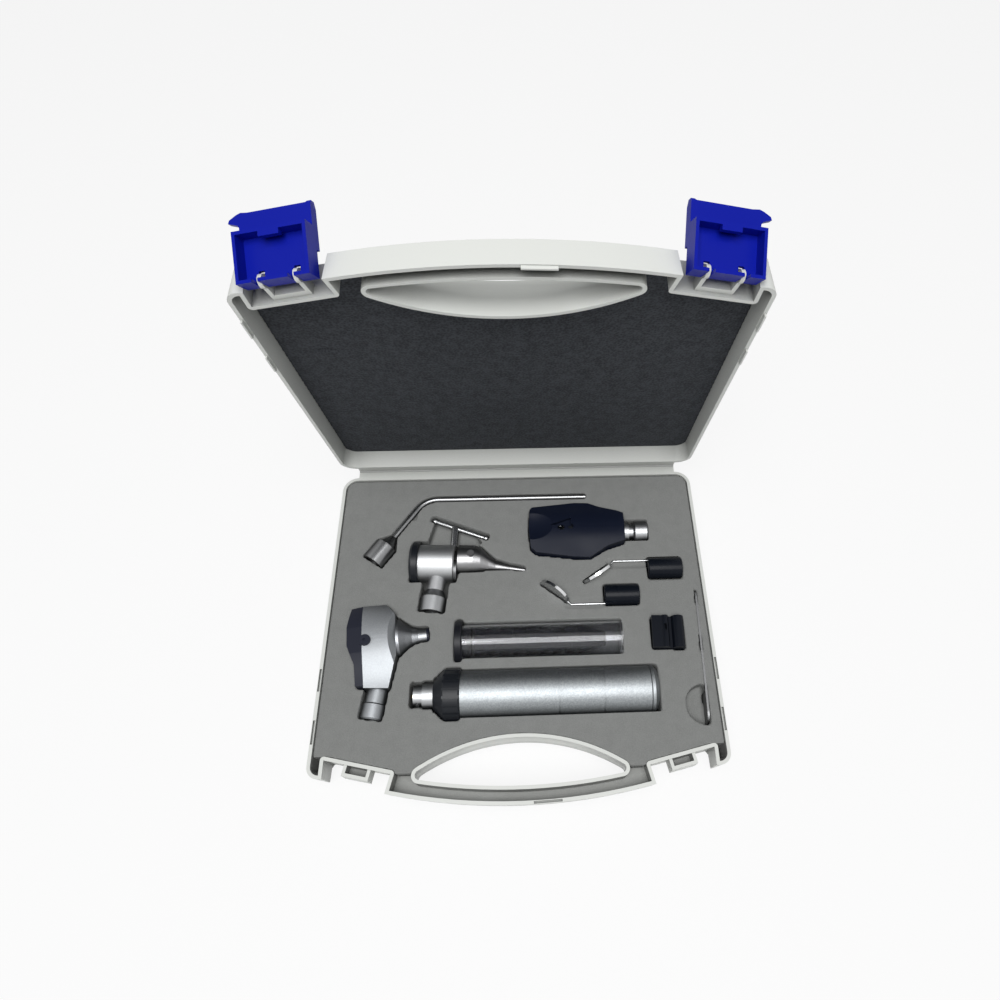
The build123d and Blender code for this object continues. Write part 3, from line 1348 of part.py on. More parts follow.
def make_everything():
    nodes = {}
    nodes["base_shell"] = make_base()
    nodes["lid_shell"] = make_lid()
    nodes["film_hinge"] = make_film_hinge()
    nodes.update(foam_blocks(make_base_foam(make_pockets())))
    nodes["foam_backing"] = make_foam_backing()
    nodes["lid_foam"] = make_lid_foam()
    nodes["latch_left"] = latch_placed(-1)
    nodes["latch_right"] = latch_placed(1)
    nodes["handle_tube"] = make_handle_tube()
    nodes["handle_end_cap"] = make_handle_end_cap()
    nodes["dimmer_ring"] = make_dimmer_ring()
    nodes["bayonet_connector"] = make_bayonet_connector()
    nodes["contact_stud"] = make_contact_stud()
    nodes["battery_cell_front"] = make_battery_cell(0)
    nodes["battery_cell_rear"] = make_battery_cell(1)
    nodes["battery_spring"] = make_battery_spring()
    nodes["specula_tube"] = make_specula_tube()
    nodes["specula_cap"] = make_specula_cap()
    nodes["ear_specula"] = Compound(children=make_ear_specula())
    nodes["otoscope_body"] = make_otoscope_body()
    nodes["otoscope_lens_frame"] = make_otoscope_lens_frame()
    nodes["otoscope_lens"] = make_otoscope_lens()
    nodes["otoscope_screw"] = make_otoscope_screw()
    nodes["otoscope_nose"] = make_otoscope_nose()
    nodes["otoscope_tip"] = make_otoscope_tip()
    nodes["otoscope_collar"] = make_otoscope_collar()
    nodes["otoscope_lamp"] = make_otoscope_lamp()
    nodes["operating_body"] = make_operating_body()
    nodes["operating_ring"] = make_operating_ring()
    nodes["operating_plate"] = make_operating_plate()
    nodes["speculum_lower"] = make_speculum_half(-1)
    nodes["speculum_upper"] = make_speculum_half(1)
    nodes["thumb_bar"] = make_thumb_bar()
    nodes["thumb_stem"] = make_thumb_stem()
    nodes["operating_screw"] = make_operating_screw()
    nodes["operating_socket"] = make_operating_socket()
    nodes["bent_arm_tube"] = make_bent_arm_tube()
    nodes["bent_arm_socket"] = make_bent_arm_socket()
    nodes["bent_arm_insulator"] = make_bent_arm_insulator()
    nodes["ophthalmoscope_top"] = make_ophthalmoscope_shell(1)
    nodes["ophthalmoscope_bottom"] = make_ophthalmoscope_shell(-1)
    nodes["ophthalmoscope_window"] = make_ophthalmoscope_window()
    nodes["ophthalmoscope_wheel"] = make_ophthalmoscope_wheel()
    nodes["ophthalmoscope_neck"] = make_ophthalmoscope_neck()
    nodes["ophthalmoscope_socket"] = make_ophthalmoscope_socket()
    for name, spec in (("mirror_a", MIRROR_A), ("mirror_b", MIRROR_B)):
        nodes[name + "_sleeve"] = make_mirror_sleeve(spec)
        nodes[name + "_stem"] = make_mirror_stem(spec)
        nodes[name + "_disc"] = make_mirror_disc(spec)
    nodes["blade_holder"] = make_blade_holder()
    nodes["tongue_blade"] = make_tongue_blade()
    return nodes


os.makedirs("parts", exist_ok=True)
for node_name, node_solid in make_everything().items():
    export_step(node_solid, "parts/" + node_name + ".step")
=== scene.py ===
import math

import bpy
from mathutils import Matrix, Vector


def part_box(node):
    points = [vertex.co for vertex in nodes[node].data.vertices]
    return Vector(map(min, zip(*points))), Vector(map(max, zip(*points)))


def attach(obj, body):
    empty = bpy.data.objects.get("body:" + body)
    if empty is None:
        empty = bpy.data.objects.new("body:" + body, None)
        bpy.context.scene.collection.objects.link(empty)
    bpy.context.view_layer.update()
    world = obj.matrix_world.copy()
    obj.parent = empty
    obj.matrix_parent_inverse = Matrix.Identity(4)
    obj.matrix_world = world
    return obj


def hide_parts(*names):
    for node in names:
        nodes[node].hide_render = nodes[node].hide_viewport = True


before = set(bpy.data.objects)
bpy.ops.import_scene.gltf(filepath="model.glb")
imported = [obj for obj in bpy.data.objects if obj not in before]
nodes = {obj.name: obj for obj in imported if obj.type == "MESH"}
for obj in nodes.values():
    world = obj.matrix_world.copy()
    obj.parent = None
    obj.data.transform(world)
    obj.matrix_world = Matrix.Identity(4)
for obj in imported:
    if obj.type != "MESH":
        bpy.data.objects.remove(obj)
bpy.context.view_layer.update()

MM = 0.001


# ------------------------------------------------------------------ case halves
# Base and lid are two injection-moulded halves in pale warm-grey polypropylene, 2 mm thick,
# with a fine spark-eroded grain outside. A thin moulded bead of the same plastic joins their
# rear flanges as a film hinge; its much darker grey is painted shade.
CASE_GREY = (0.77, 0.785, 0.75)
# The hinge web's darker grey is painted shade, not a colour of its own.
HINGE_PAINTED_SHADE_GREY = (0.34, 0.345, 0.335)
CASE_GRAIN = 1500
CASE_GRAIN_DEPTH = 0.05


def tree_node(tree, kind, **settings):
    """A node of a shader tree; a value for a socket is given as its name with _ for the space."""
    made = tree.nodes.new(kind)
    for key, value in settings.items():
        socket = made.inputs.get(key.replace("_", " "))
        if socket is not None:
            socket.default_value = value
        else:
            setattr(made, key, value)
    return made


def new_group(name, inputs, outputs):
    """An empty shader group with float inputs (name: default) and outputs (name: socket kind)."""
    group = bpy.data.node_groups.new(name, "ShaderNodeTree")
    for label, value in inputs.items():
        socket = group.interface.new_socket(label, in_out="INPUT", socket_type="NodeSocketFloat")
        socket.default_value = value
    for label, kind in outputs.items():
        group.interface.new_socket(label, in_out="OUTPUT", socket_type="NodeSocket" + kind)
    entry = group.nodes.new("NodeGroupInput")
    exit_ = group.nodes.new("NodeGroupOutput")
    return group, entry, exit_


def join(tree, source, output, target, socket):
    tree.links.new(source.outputs[output], target.inputs[socket])


def grain_group():
    """Fine moulded grain: an even height, and a mask that says where handling has polished it."""
    inputs = {"Scale": 1000.0, "Patch Scale": 30.0, "Least": 0.3, "Most": 0.5}
    group, entry, out = new_group("moulded_grain", inputs, {"Height": "Float", "Sheen": "Float"})
    place = tree_node(group, "ShaderNodeTexCoord")
    fine = tree_node(group, "ShaderNodeTexNoise", Detail=1.0)
    patch = tree_node(group, "ShaderNodeTexNoise", Detail=4.0)
    spread = tree_node(group, "ShaderNodeMapRange")
    join(group, place, "Object", fine, "Vector")
    join(group, place, "Object", patch, "Vector")
    join(group, entry, "Scale", fine, "Scale")
    join(group, entry, "Patch Scale", patch, "Scale")
    spread.inputs["From Min"].default_value = 0.35
    spread.inputs["From Max"].default_value = 0.65
    join(group, patch, "Fac", spread, "Value")
    join(group, entry, "Least", spread, "To Min")
    join(group, entry, "Most", spread, "To Max")
    join(group, fine, "Fac", out, "Height")
    join(group, spread, "Result", out, "Sheen")
    return group


def finish_of(name, colour, roughness, **sockets):
    """A new material with its own shader, whose plain values are set on the shader's sockets."""
    material = bpy.data.materials.new(name)
    material.use_nodes = True
    shader = material.node_tree.nodes["Principled BSDF"]
    shader.inputs["Base Color"].default_value = (*colour, 1.0)
    shader.inputs["Roughness"].default_value = roughness
    for key, value in sockets.items():
        shader.inputs[key.replace("_", " ")].default_value = value
    return material, shader


def place_group(material, group, **values):
    """Puts a shared effect into a material with its own values."""
    placed = material.node_tree.nodes.new("ShaderNodeGroup")
    placed.node_tree = group
    for key, value in values.items():
        placed.inputs[key.replace("_", " ")].default_value = value
    return placed


def add_relief(material, shader, effect, depth, strength=1.0, output="Height"):
    """A bump from an effect's height, its depth in millimetres."""
    tree = material.node_tree
    relief = tree_node(tree, "ShaderNodeBump", Distance=depth * MM, Strength=strength)
    join(tree, effect, output, relief, "Height")
    join(tree, relief, "Normal", shader, "Normal")


MOULDED_GRAIN = grain_group()


def painted_crevice_shade_group():
    """A colour darkened by painted shade in narrow channels, from an ambient-occlusion mask."""
    inputs = {"Reach": 0.012, "Deep": 0.4, "Red": 1.0, "Green": 1.0, "Blue": 1.0}
    group, entry, out = new_group("painted_crevice_shade", inputs, {"Color": "Color"})
    near = tree_node(group, "ShaderNodeAmbientOcclusion", samples=8)
    spread = tree_node(group, "ShaderNodeMapRange")
    tint = tree_node(group, "ShaderNodeCombineColor")
    painted_shade_colour = tree_node(group, "ShaderNodeVectorMath", operation="SCALE")
    spread.inputs["From Min"].default_value = 0.25
    spread.inputs["From Max"].default_value = 0.85
    join(group, entry, "Reach", near, "Distance")
    join(group, near, "AO", spread, "Value")
    join(group, entry, "Deep", spread, "To Min")
    for channel in ("Red", "Green", "Blue"):
        join(group, entry, channel, tint, channel)
    group.links.new(tint.outputs["Color"], painted_shade_colour.inputs[0])
    join(group, spread, "Result", painted_shade_colour, "Scale")
    group.links.new(painted_shade_colour.outputs[0], out.inputs["Color"])
    return group


# Painted shade: an ambient-occlusion mask darkens the colour in narrow channels and crevices.
PAINTED_CREVICE_SHADE = painted_crevice_shade_group()
PAINTED_SHADE_REACH = 0.022
PAINTED_SHADE_DEEP = 0.38


def paint_crevice_shade(material, colour):
    """Gives a plastic its colour through the painted crevice shade."""
    shader = material.node_tree.nodes["Principled BSDF"]
    red, green, blue = colour
    effect = place_group(material, PAINTED_CREVICE_SHADE, Reach=PAINTED_SHADE_REACH, Deep=PAINTED_SHADE_DEEP)
    for channel, value in (("Red", red), ("Green", green), ("Blue", blue)):
        effect.inputs[channel].default_value = value
    join(material.node_tree, effect, "Color", shader, "Base Color")


def moulded_plastic(name, colour, least, most, grain, depth, **sockets):
    """A plastic with a moulded grain: its roughness runs from least to most, its depth is in millimetres."""
    material, shader = finish_of(name, colour, (least + most) / 2, **sockets)
    effect = place_group(material, MOULDED_GRAIN, Scale=grain, Least=least, Most=most)
    join(material.node_tree, effect, "Sheen", shader, "Roughness")
    add_relief(material, shader, effect, depth)
    return material


def dress(material, *names):
    """Gives carried-over CAD nodes their material."""
    for name in names:
        mesh = nodes[name].data
        mesh.materials.clear()
        mesh.materials.append(material)


case_plastic = moulded_plastic(
    "pale_case_plastic", CASE_GREY, least=0.40, most=0.52, grain=CASE_GRAIN, depth=CASE_GRAIN_DEPTH
)
hinge_painted_shade_plastic = moulded_plastic(
    "hinge_web_painted_shade_plastic", HINGE_PAINTED_SHADE_GREY, least=0.45, most=0.55, grain=CASE_GRAIN, depth=CASE_GRAIN_DEPTH
)
# The case halves' channels and crevices darken with painted shade.
paint_crevice_shade(case_plastic, CASE_GREY)
dress(case_plastic, "base_shell", "lid_shell")
dress(hinge_painted_shade_plastic, "film_hinge")


# ------------------------------------------------------------------ latches
# Two over-centre snap latches moulded in glossy blue acetal. Each snaps on to a pin on the lid's
# edge and hooks over the base's catch; the same moulding serves on both sides.
LATCH_BLUE = (0.0025, 0.010, 0.34)
latch_blue = moulded_plastic(
    "blue_latch_plastic", LATCH_BLUE, least=0.32, most=0.44, grain=900, depth=0.02, Specular_IOR_Level=0.14
)
dress(latch_blue, "latch_left", "latch_right")


# ------------------------------------------------------------------ foam in the base
# One slab of fine open-cell grey foam, die-cut with a pocket for each instrument and glued to a
# thin backing of the same foam. It is pressed in wall to wall, and squeezes against the pieces.
FOAM_GREY = (0.262, 0.267, 0.260)
FOAM_STEP = 1.0 * MM
FOAM_CELLS = 1500
LIP_OVERLAP = 0.6 * MM
LIP_END = 1.2 * MM
HANDLE_GAP = 0.3 * MM
HANDLE_LIP = 3.0 * MM
TUBE_GAP = 0.6 * MM
TUBE_LIP = 4.0 * MM
SLOT_HALF = 16.6
RING_STEPS = ((0.0, 1.5, 10.6), (1.5, 3.0, 12.1), (3.0, 4.5, 13.6), (4.5, 6.0, 15.0))
PLUG_STEPS = ((0.0, 5.0, 7.4), (5.0, 11.2, 8.7))
SLAB_BLOCKS = (
    "foam_front", "foam_left", "foam_right", "foam_holder_bed", "foam_handle_bed",
    "foam_tube_bed", "foam_rear_left", "foam_rear_right",
)


def foam_group():
    """Open foam cells: a pitted height, and a colour share with painted shade in the pits over a random
    mottle.
    """
    inputs = {"Cells": 800.0, "Dark": 0.8, "Light": 1.1}
    group, entry, out = new_group("foam_cells", inputs, {"Height": "Float", "Shade": "Color"})
    place = tree_node(group, "ShaderNodeTexCoord")
    cell = tree_node(group, "ShaderNodeTexVoronoi")
    drift = tree_node(group, "ShaderNodeTexNoise", Scale=160.0, Detail=5.0)
    both = tree_node(group, "ShaderNodeMath", operation="ADD")
    spread = tree_node(group, "ShaderNodeMapRange")
    tone = tree_node(group, "ShaderNodeCombineColor")
    join(group, place, "Object", cell, "Vector")
    join(group, place, "Object", drift, "Vector")
    join(group, entry, "Cells", cell, "Scale")
    group.links.new(cell.outputs["Distance"], both.inputs[0])
    group.links.new(drift.outputs["Fac"], both.inputs[1])
    spread.inputs["From Min"].default_value = 0.6
    spread.inputs["From Max"].default_value = 1.3
    join(group, both, "Value", spread, "Value")
    join(group, entry, "Dark", spread, "To Min")
    join(group, entry, "Light", spread, "To Max")
    for channel in ("Red", "Green", "Blue"):
        join(group, spread, "Result", tone, channel)
    join(group, both, "Value", out, "Height")
    join(group, tone, "Color", out, "Shade")
    return group


FOAM_CELL_GROUP = foam_group()


def foam_material(name, colour, cells, dark, light, depth):
    """Matt foam: dark and light are shares of its colour over the cells, the dark share painted shade in the
    pits; its depth is in millimetres.
    """
    material, shader = finish_of(name, colour, 0.95, Specular_IOR_Level=0.15)
    tree = material.node_tree
    effect = place_group(material, FOAM_CELL_GROUP, Cells=cells, Dark=dark, Light=light)
    tint = tree_node(tree, "ShaderNodeMix", data_type="RGBA", blend_type="MULTIPLY")
    tint.inputs[0].default_value = 1.0
    tint.inputs[6].default_value = (*colour, 1.0)
    tree.links.new(effect.outputs["Shade"], tint.inputs[7])
    tree.links.new(tint.outputs[2], shader.inputs["Base Color"])
    add_relief(material, shader, effect, depth)
    return material


def box_corners(low, high):
    return [(x, y, z) for x in (low[0], high[0]) for y in (low[1], high[1]) for z in (low[2], high[2])]


BOX_FACES = [(0, 1, 3, 2), (4, 6, 7, 5), (0, 4, 5, 1), (2, 3, 7, 6), (0, 2, 6, 4), (1, 5, 7, 3)]


def soft_copy(name, sources, blocks, step):
    """CAD foam meshes joined with extra blocks, remeshed so that the cut edges go soft."""
    verts = []
    faces = []
    for source in sources:
        start = len(verts)
        verts += [tuple(v.co) for v in nodes[source].data.vertices]
        faces += [tuple(start + i for i in p.vertices) for p in nodes[source].data.polygons]
    for low, high in blocks:
        start = len(verts)
        verts += box_corners(low, high)
        faces += [tuple(start + i for i in face) for face in BOX_FACES]
    mesh = bpy.data.meshes.new(name)
    mesh.from_pydata(verts, [], faces)
    piece = bpy.data.objects.new(name, mesh)
    bpy.context.scene.collection.objects.link(piece)
    remesh = piece.modifiers.new("even_skin", "REMESH")
    remesh.mode = "VOXEL"
    remesh.voxel_size = step
    remesh.use_smooth_shade = True
    settled = bpy.data.meshes.new_from_object(piece.evaluated_get(bpy.context.evaluated_depsgraph_get()))
    piece.modifiers.clear()
    piece.data = settled
    return piece


def slot_lips(tube, right_end, gap, reach):
    """Foam that closes in on a round piece lying in a wider straight slot, as (low, high) blocks."""
    low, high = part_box(tube)
    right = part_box(right_end)[1].x + LIP_END
    foam_low, foam_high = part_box("foam_front")
    rear = ((low.x, high.y + gap, foam_low.z + LIP_OVERLAP), (right, high.y + reach, foam_high.z))
    front = ((low.x, low.y - reach, foam_low.z + LIP_OVERLAP), (right, low.y - gap, foam_high.z))
    return [rear, front]


def stepped_lips(turned, outer_y, steps):
    """Foam that follows a turned piece's profile: (start, end, radius) along it, in millimetres."""
    low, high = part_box(turned)
    middle = (low.y + high.y) / 2
    foam_low, foam_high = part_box("foam_front")
    blocks = []
    bottom = foam_low.z + LIP_OVERLAP
    for start, end, radius in steps:
        x0 = low.x + start * MM
        x1 = low.x + end * MM
        near = radius * MM
        far = outer_y * MM
        blocks.append(((x0, middle + near, bottom), (x1, middle + far, foam_high.z)))
        blocks.append(((x0, middle - far, bottom), (x1, middle - near, foam_high.z)))
    return blocks


base_foam_cells = foam_material("grey_foam", FOAM_GREY, FOAM_CELLS, dark=0.92, light=1.06, depth=0.12)
lips = slot_lips("handle_tube", "handle_end_cap", HANDLE_GAP, HANDLE_LIP)
lips += slot_lips("specula_tube", "specula_tube", TUBE_GAP, TUBE_LIP)
lips += stepped_lips("dimmer_ring", SLOT_HALF, RING_STEPS)
lips += stepped_lips("bayonet_connector", SLOT_HALF, PLUG_STEPS)
foam_slab = soft_copy("foam_slab", SLAB_BLOCKS, lips, FOAM_STEP)
foam_slab.data.materials.append(base_foam_cells)
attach(foam_slab, "base")
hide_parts(*SLAB_BLOCKS)

foam_bed = soft_copy("foam_bed", ["foam_backing"], [], FOAM_STEP)
foam_bed.data.materials.append(base_foam_cells)
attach(foam_bed, "base")
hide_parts("foam_backing")


# ------------------------------------------------------------------ foam in the lid
# A plain sheet of dark grey foam, coarser than the base's, pressed into the lid so that it holds the
# instruments down when the case is shut. Its face has a small curved tear from handling.
LID_FOAM_GREY = (0.052, 0.056, 0.063)
LID_FOAM_CELLS = 800
LID_FOAM_STEP = 0.9 * MM
TEAR_MIDDLE = (-95.0, 158.0)
TEAR_RADIUS = 10.0
TEAR_SPAN = (20.0, 165.0)
TEAR_WIDE = 1.1
TEAR_DEEP = 1.6
TEAR_LIP = 0.7
TEAR_LIP_AWAY = 1.8 * TEAR_WIDE
lid_foam_cells = foam_material("lid_foam", LID_FOAM_GREY, LID_FOAM_CELLS, dark=0.70, light=1.32, depth=0.35)
foam_sheet = soft_copy("foam_sheet", ["lid_foam"], [], LID_FOAM_STEP)


def press_tear(sheet):
    """A small curved tear in the sheet's face, in millimetres: a groove under a slightly raised lip."""
    for vert in sheet.data.vertices:
        x = vert.co.x / MM - TEAR_MIDDLE[0]
        z = vert.co.z / MM - TEAR_MIDDLE[1]
        angle = math.degrees(math.atan2(z, x)) % 360.0
        away = math.hypot(x, z) - TEAR_RADIUS
        if vert.normal.y > -0.5 or abs(away) > 4 * TEAR_WIDE or not TEAR_SPAN[0] < angle < TEAR_SPAN[1]:
            continue
        part = (angle - TEAR_SPAN[0]) / (TEAR_SPAN[1] - TEAR_SPAN[0])
        along = math.sin(math.pi * part)
        groove = TEAR_DEEP * math.exp(-((away / TEAR_WIDE) ** 2))
        lip = TEAR_LIP * math.exp(-(((away + TEAR_LIP_AWAY) / TEAR_WIDE) ** 2))
        vert.co -= vert.normal * (groove - lip) * along * MM


press_tear(foam_sheet)
foam_sheet.data.materials.append(lid_foam_cells)
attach(foam_sheet, "lid")
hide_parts("lid_foam")


# ------------------------------------------------------------------ battery handle
# An anodised aluminium tube for two C cells with two turned grooves, a screwed end cap, a
# ribbed black dimmer ring and a stepped bayonet plug in chromed brass.
ANODISED = (0.325, 0.345, 0.357)
CHROME = (0.62, 0.63, 0.64)
SATIN_CHROME = (0.44, 0.45, 0.46)
RING_BLACK = (0.011, 0.013, 0.017)
BRASS = (0.72, 0.52, 0.22)
CELL_GREY = (0.10, 0.10, 0.11)
SPRING_GREY = (0.45, 0.45, 0.46)


def sparkle_group():
    """Bead-blasted metal: tiny facets that differ a little in height and in brightness."""
    inputs = {"Facets": 3000.0, "Dark": 0.9, "Light": 1.08, "Smooth": 0.3, "Rough": 0.4}
    outputs = {"Height": "Float", "Shade": "Color", "Roughness": "Float"}
    group, entry, out = new_group("blasted_facets", inputs, outputs)
    place = tree_node(group, "ShaderNodeTexCoord")
    facet = tree_node(group, "ShaderNodeTexVoronoi")
    parts = tree_node(group, "ShaderNodeSeparateColor")
    spread = tree_node(group, "ShaderNodeMapRange")
    tone = tree_node(group, "ShaderNodeCombineColor")
    patch = tree_node(group, "ShaderNodeTexNoise", Scale=45.0, Detail=4.0)
    dull = tree_node(group, "ShaderNodeMapRange")
    join(group, place, "Object", facet, "Vector")
    join(group, place, "Object", patch, "Vector")
    join(group, entry, "Facets", facet, "Scale")
    join(group, facet, "Color", parts, "Color")
    join(group, parts, "Red", spread, "Value")
    join(group, entry, "Dark", spread, "To Min")
    join(group, entry, "Light", spread, "To Max")
    for channel in ("Red", "Green", "Blue"):
        join(group, spread, "Result", tone, channel)
    join(group, patch, "Fac", dull, "Value")
    join(group, entry, "Smooth", dull, "To Min")
    join(group, entry, "Rough", dull, "To Max")
    join(group, parts, "Green", out, "Height")
    join(group, tone, "Color", out, "Shade")
    join(group, dull, "Result", out, "Roughness")
    return group


BLASTED = sparkle_group()


# Painted shade on metal flanks: a facing mask darkens the colour where a surface turns away from the view.
PAINTED_SHADE_FLANK_START = 0.06
PAINTED_SHADE_FLANK_END = 0.62


def metal(name, colour, smooth, rough, facets=2500.0, dark=0.95, light=1.04, depth=0.01, painted_flank_shade=0.5):
    """Plated or bare metal. Flanks that turn away from the view get painted shade: they darken to the
    painted_flank_shade share of the colour.
    """
    material, shader = finish_of(name, colour, (smooth + rough) / 2, Metallic=1.0)
    tree = material.node_tree
    effect = place_group(material, BLASTED, Facets=facets, Dark=dark, Light=light, Smooth=smooth, Rough=rough)
    tint = tree_node(tree, "ShaderNodeMix", data_type="RGBA", blend_type="MULTIPLY")
    tint.inputs[0].default_value = 1.0
    tint.inputs[6].default_value = (*colour, 1.0)
    tree.links.new(effect.outputs["Shade"], tint.inputs[7])
    turned = tree_node(tree, "ShaderNodeLayerWeight", Blend=0.5)
    painted_flank = tree_node(tree, "ShaderNodeMapRange", interpolation_type="SMOOTHSTEP")
    painted_flank.inputs["From Min"].default_value = PAINTED_SHADE_FLANK_START
    painted_flank.inputs["From Max"].default_value = PAINTED_SHADE_FLANK_END
    painted_flank.inputs["To Min"].default_value = 1.0
    painted_flank.inputs["To Max"].default_value = painted_flank_shade
    painted_shade_colour = tree_node(tree, "ShaderNodeVectorMath", operation="SCALE")
    join(tree, turned, "Facing", painted_flank, "Value")
    tree.links.new(tint.outputs[2], painted_shade_colour.inputs[0])
    join(tree, painted_flank, "Result", painted_shade_colour, "Scale")
    tree.links.new(painted_shade_colour.outputs[0], shader.inputs["Base Color"])
    join(tree, effect, "Roughness", shader, "Roughness")
    add_relief(material, shader, effect, depth)
    return material


anodised = metal(
    "anodised_tube", ANODISED, smooth=0.44, rough=0.52,
    facets=1500, dark=0.88, light=1.12, depth=0.02, painted_flank_shade=0.45,
)
chrome = metal("bright_chrome", CHROME, smooth=0.20, rough=0.28, painted_flank_shade=0.25)
satin_chrome = metal("satin_chrome", SATIN_CHROME, smooth=0.34, rough=0.42, painted_flank_shade=0.2)
ring_black = moulded_plastic(
    "ring_plastic", RING_BLACK, least=0.30, most=0.38, grain=1200, depth=0.02, Specular_IOR_Level=0.28
)
brass = metal("contact_brass", BRASS, smooth=0.2, rough=0.3)
cell_jacket = metal("cell_jacket", CELL_GREY, smooth=0.35, rough=0.45)
spring_wire = metal("spring_wire", SPRING_GREY, smooth=0.25, rough=0.35)
dress(anodised, "handle_tube", "handle_end_cap")
dress(satin_chrome, "bayonet_connector")
dress(ring_black, "dimmer_ring")
dress(brass, "contact_stud")
dress(cell_jacket, "battery_cell_front", "battery_cell_rear")
dress(spring_wire, "battery_spring")


# ------------------------------------------------------------------ specula in their tube
# A clear extruded acrylic tube holds nine black ear specula nested one in the next. Its black
# cap is a push fit.
TUBE_TINT = (0.90, 0.91, 0.94)
SPECULA_BLACK = (0.008, 0.009, 0.014)
CAP_BLACK = (0.010, 0.011, 0.015)


def clear_plastic(name, colour, roughness, clear=1.0):
    """A clear moulding; what isn't clear of it is a faint haze."""
    return finish_of(name, colour, roughness, Transmission_Weight=clear, IOR=1.45)[0]


clear_tube = clear_plastic("clear_tube", TUBE_TINT, roughness=0.03, clear=0.99)
specula_black = finish_of("specula_plastic", SPECULA_BLACK, roughness=0.22)[0]
cap_black = moulded_plastic(
    "tube_cap_plastic", CAP_BLACK, least=0.36, most=0.46, grain=1200, depth=0.02, Specular_IOR_Level=0.25
)
dress(clear_tube, "specula_tube")
dress(specula_black, "ear_specula")
dress(cap_black, "specula_cap")


# ------------------------------------------------------------------ otoscope head
# A die-cast, satin-plated body with a trumpet nose for the ear specula, a black lens holder that
# turns aside on a knob, and a turned collar that takes the handle's plug.
LENS_TINT = (0.92, 0.95, 0.96)
CAST_SATIN = (0.33, 0.345, 0.36)
NOSE_SATIN = (0.29, 0.30, 0.315)
HOLDER_BLACK = (0.012, 0.014, 0.026)
lens_glass = clear_plastic("lens_glass", LENS_TINT, roughness=0.02)
cast_satin = metal(
    "cast_satin", CAST_SATIN, smooth=0.42, rough=0.50, dark=0.93, light=1.06, depth=0.012, painted_flank_shade=0.35
)
nose_satin = metal(
    "nose_satin", NOSE_SATIN, smooth=0.34, rough=0.42, dark=0.9, light=1.08, depth=0.012, painted_flank_shade=0.35
)
holder_black = moulded_plastic(
    "lens_holder_plastic", HOLDER_BLACK, least=0.38, most=0.48,
    grain=1200, depth=0.02, Specular_IOR_Level=0.22,
)
dress(cast_satin, "otoscope_body", "otoscope_collar")
dress(nose_satin, "otoscope_nose")
dress(holder_black, "otoscope_lens_frame", "otoscope_tip", "otoscope_screw")
dress(lens_glass, "otoscope_lens", "otoscope_lamp")


# ------------------------------------------------------------------ operating head
# A satin-plated drum with a ribbed black ring and a dark metal plate carries a two-part beaked
# speculum, opened by a thumb rod on a pillar; a socket below takes the handle's plug.
SPATULA_STEEL = (0.30, 0.30, 0.305)
DRUM_SATIN = (0.58, 0.59, 0.60)
PLATE_METAL = (0.13, 0.132, 0.135)
spatula_steel = metal("spatula_steel", SPATULA_STEEL, smooth=0.30, rough=0.38, painted_flank_shade=0.4)
drum_satin = metal("drum_satin", DRUM_SATIN, smooth=0.44, rough=0.52, painted_flank_shade=0.55)
plate_metal = metal("plate_metal", PLATE_METAL, smooth=0.34, rough=0.42)
dress(drum_satin, "operating_body")
dress(satin_chrome, "operating_socket")
dress(spatula_steel, "speculum_lower", "speculum_upper", "operating_screw")
dress(chrome, "thumb_bar", "thumb_stem")
dress(ring_black, "operating_ring")
dress(plate_metal, "operating_plate")


# ------------------------------------------------------------------ bent-arm throat light
# A chromed brass tube bent to one side, brazed into a turned socket that takes the handle's plug.
# A black plastic insulator sits at the bottom of the socket's bore.
ARM_PLATE = (0.30, 0.305, 0.31)
arm_plate = metal("arm_plate", ARM_PLATE, smooth=0.26, rough=0.34, painted_flank_shade=0.2)
dress(arm_plate, "bent_arm_tube", "bent_arm_socket")
dress(ring_black, "bent_arm_insulator")


# ------------------------------------------------------------------ ophthalmoscope head
# Two moulded half shells in very dark blue plastic round a lens wheel, with a small window, a
# chromed neck and a turned socket.
NAVY_SHELL = (0.007, 0.010, 0.022)
navy_plastic = moulded_plastic(
    "navy_shell_plastic", NAVY_SHELL, least=0.34, most=0.44, grain=1000, depth=0.02, Specular_IOR_Level=0.12
)
dress(navy_plastic, "ophthalmoscope_top", "ophthalmoscope_bottom")
dress(ring_black, "ophthalmoscope_wheel")
dress(lens_glass, "ophthalmoscope_window")
dress(satin_chrome, "ophthalmoscope_neck", "ophthalmoscope_socket")


# ------------------------------------------------------------------ laryngeal mirrors
# Two silvered discs on thin chromed wires, each held in a glossy black sleeve.
SLEEVE_BLACK = (0.006, 0.008, 0.013)
MIRROR_SILVER = (0.86, 0.87, 0.88)
gloss_black = moulded_plastic(
    "gloss_black_plastic", SLEEVE_BLACK, least=0.22, most=0.30, grain=900, depth=0.01, Specular_IOR_Level=0.13
)
mirror_silver = metal("mirror_silver", MIRROR_SILVER, smooth=0.04, rough=0.08)
dress(gloss_black, "mirror_a_sleeve", "mirror_b_sleeve")
dress(chrome, "mirror_a_stem", "mirror_b_stem")
dress(mirror_silver, "mirror_a_disc", "mirror_b_disc")


# ------------------------------------------------------------------ blade holder and tongue blade
# A moulded glossy black clip that takes the polished steel tongue blade, which stands on edge in
# its own slit.
BLADE_STEEL = (0.24, 0.243, 0.247)
blade_steel = metal("polished_strip", BLADE_STEEL, smooth=0.34, rough=0.42)
dress(gloss_black, "blade_holder")
dress(blade_steel, "tongue_blade")


# ------------------------------------------------------------------ floor, light and camera
# A plain white floor under even studio light, and a camera above the carrying handle.
FLOOR_SIZE = 12.0


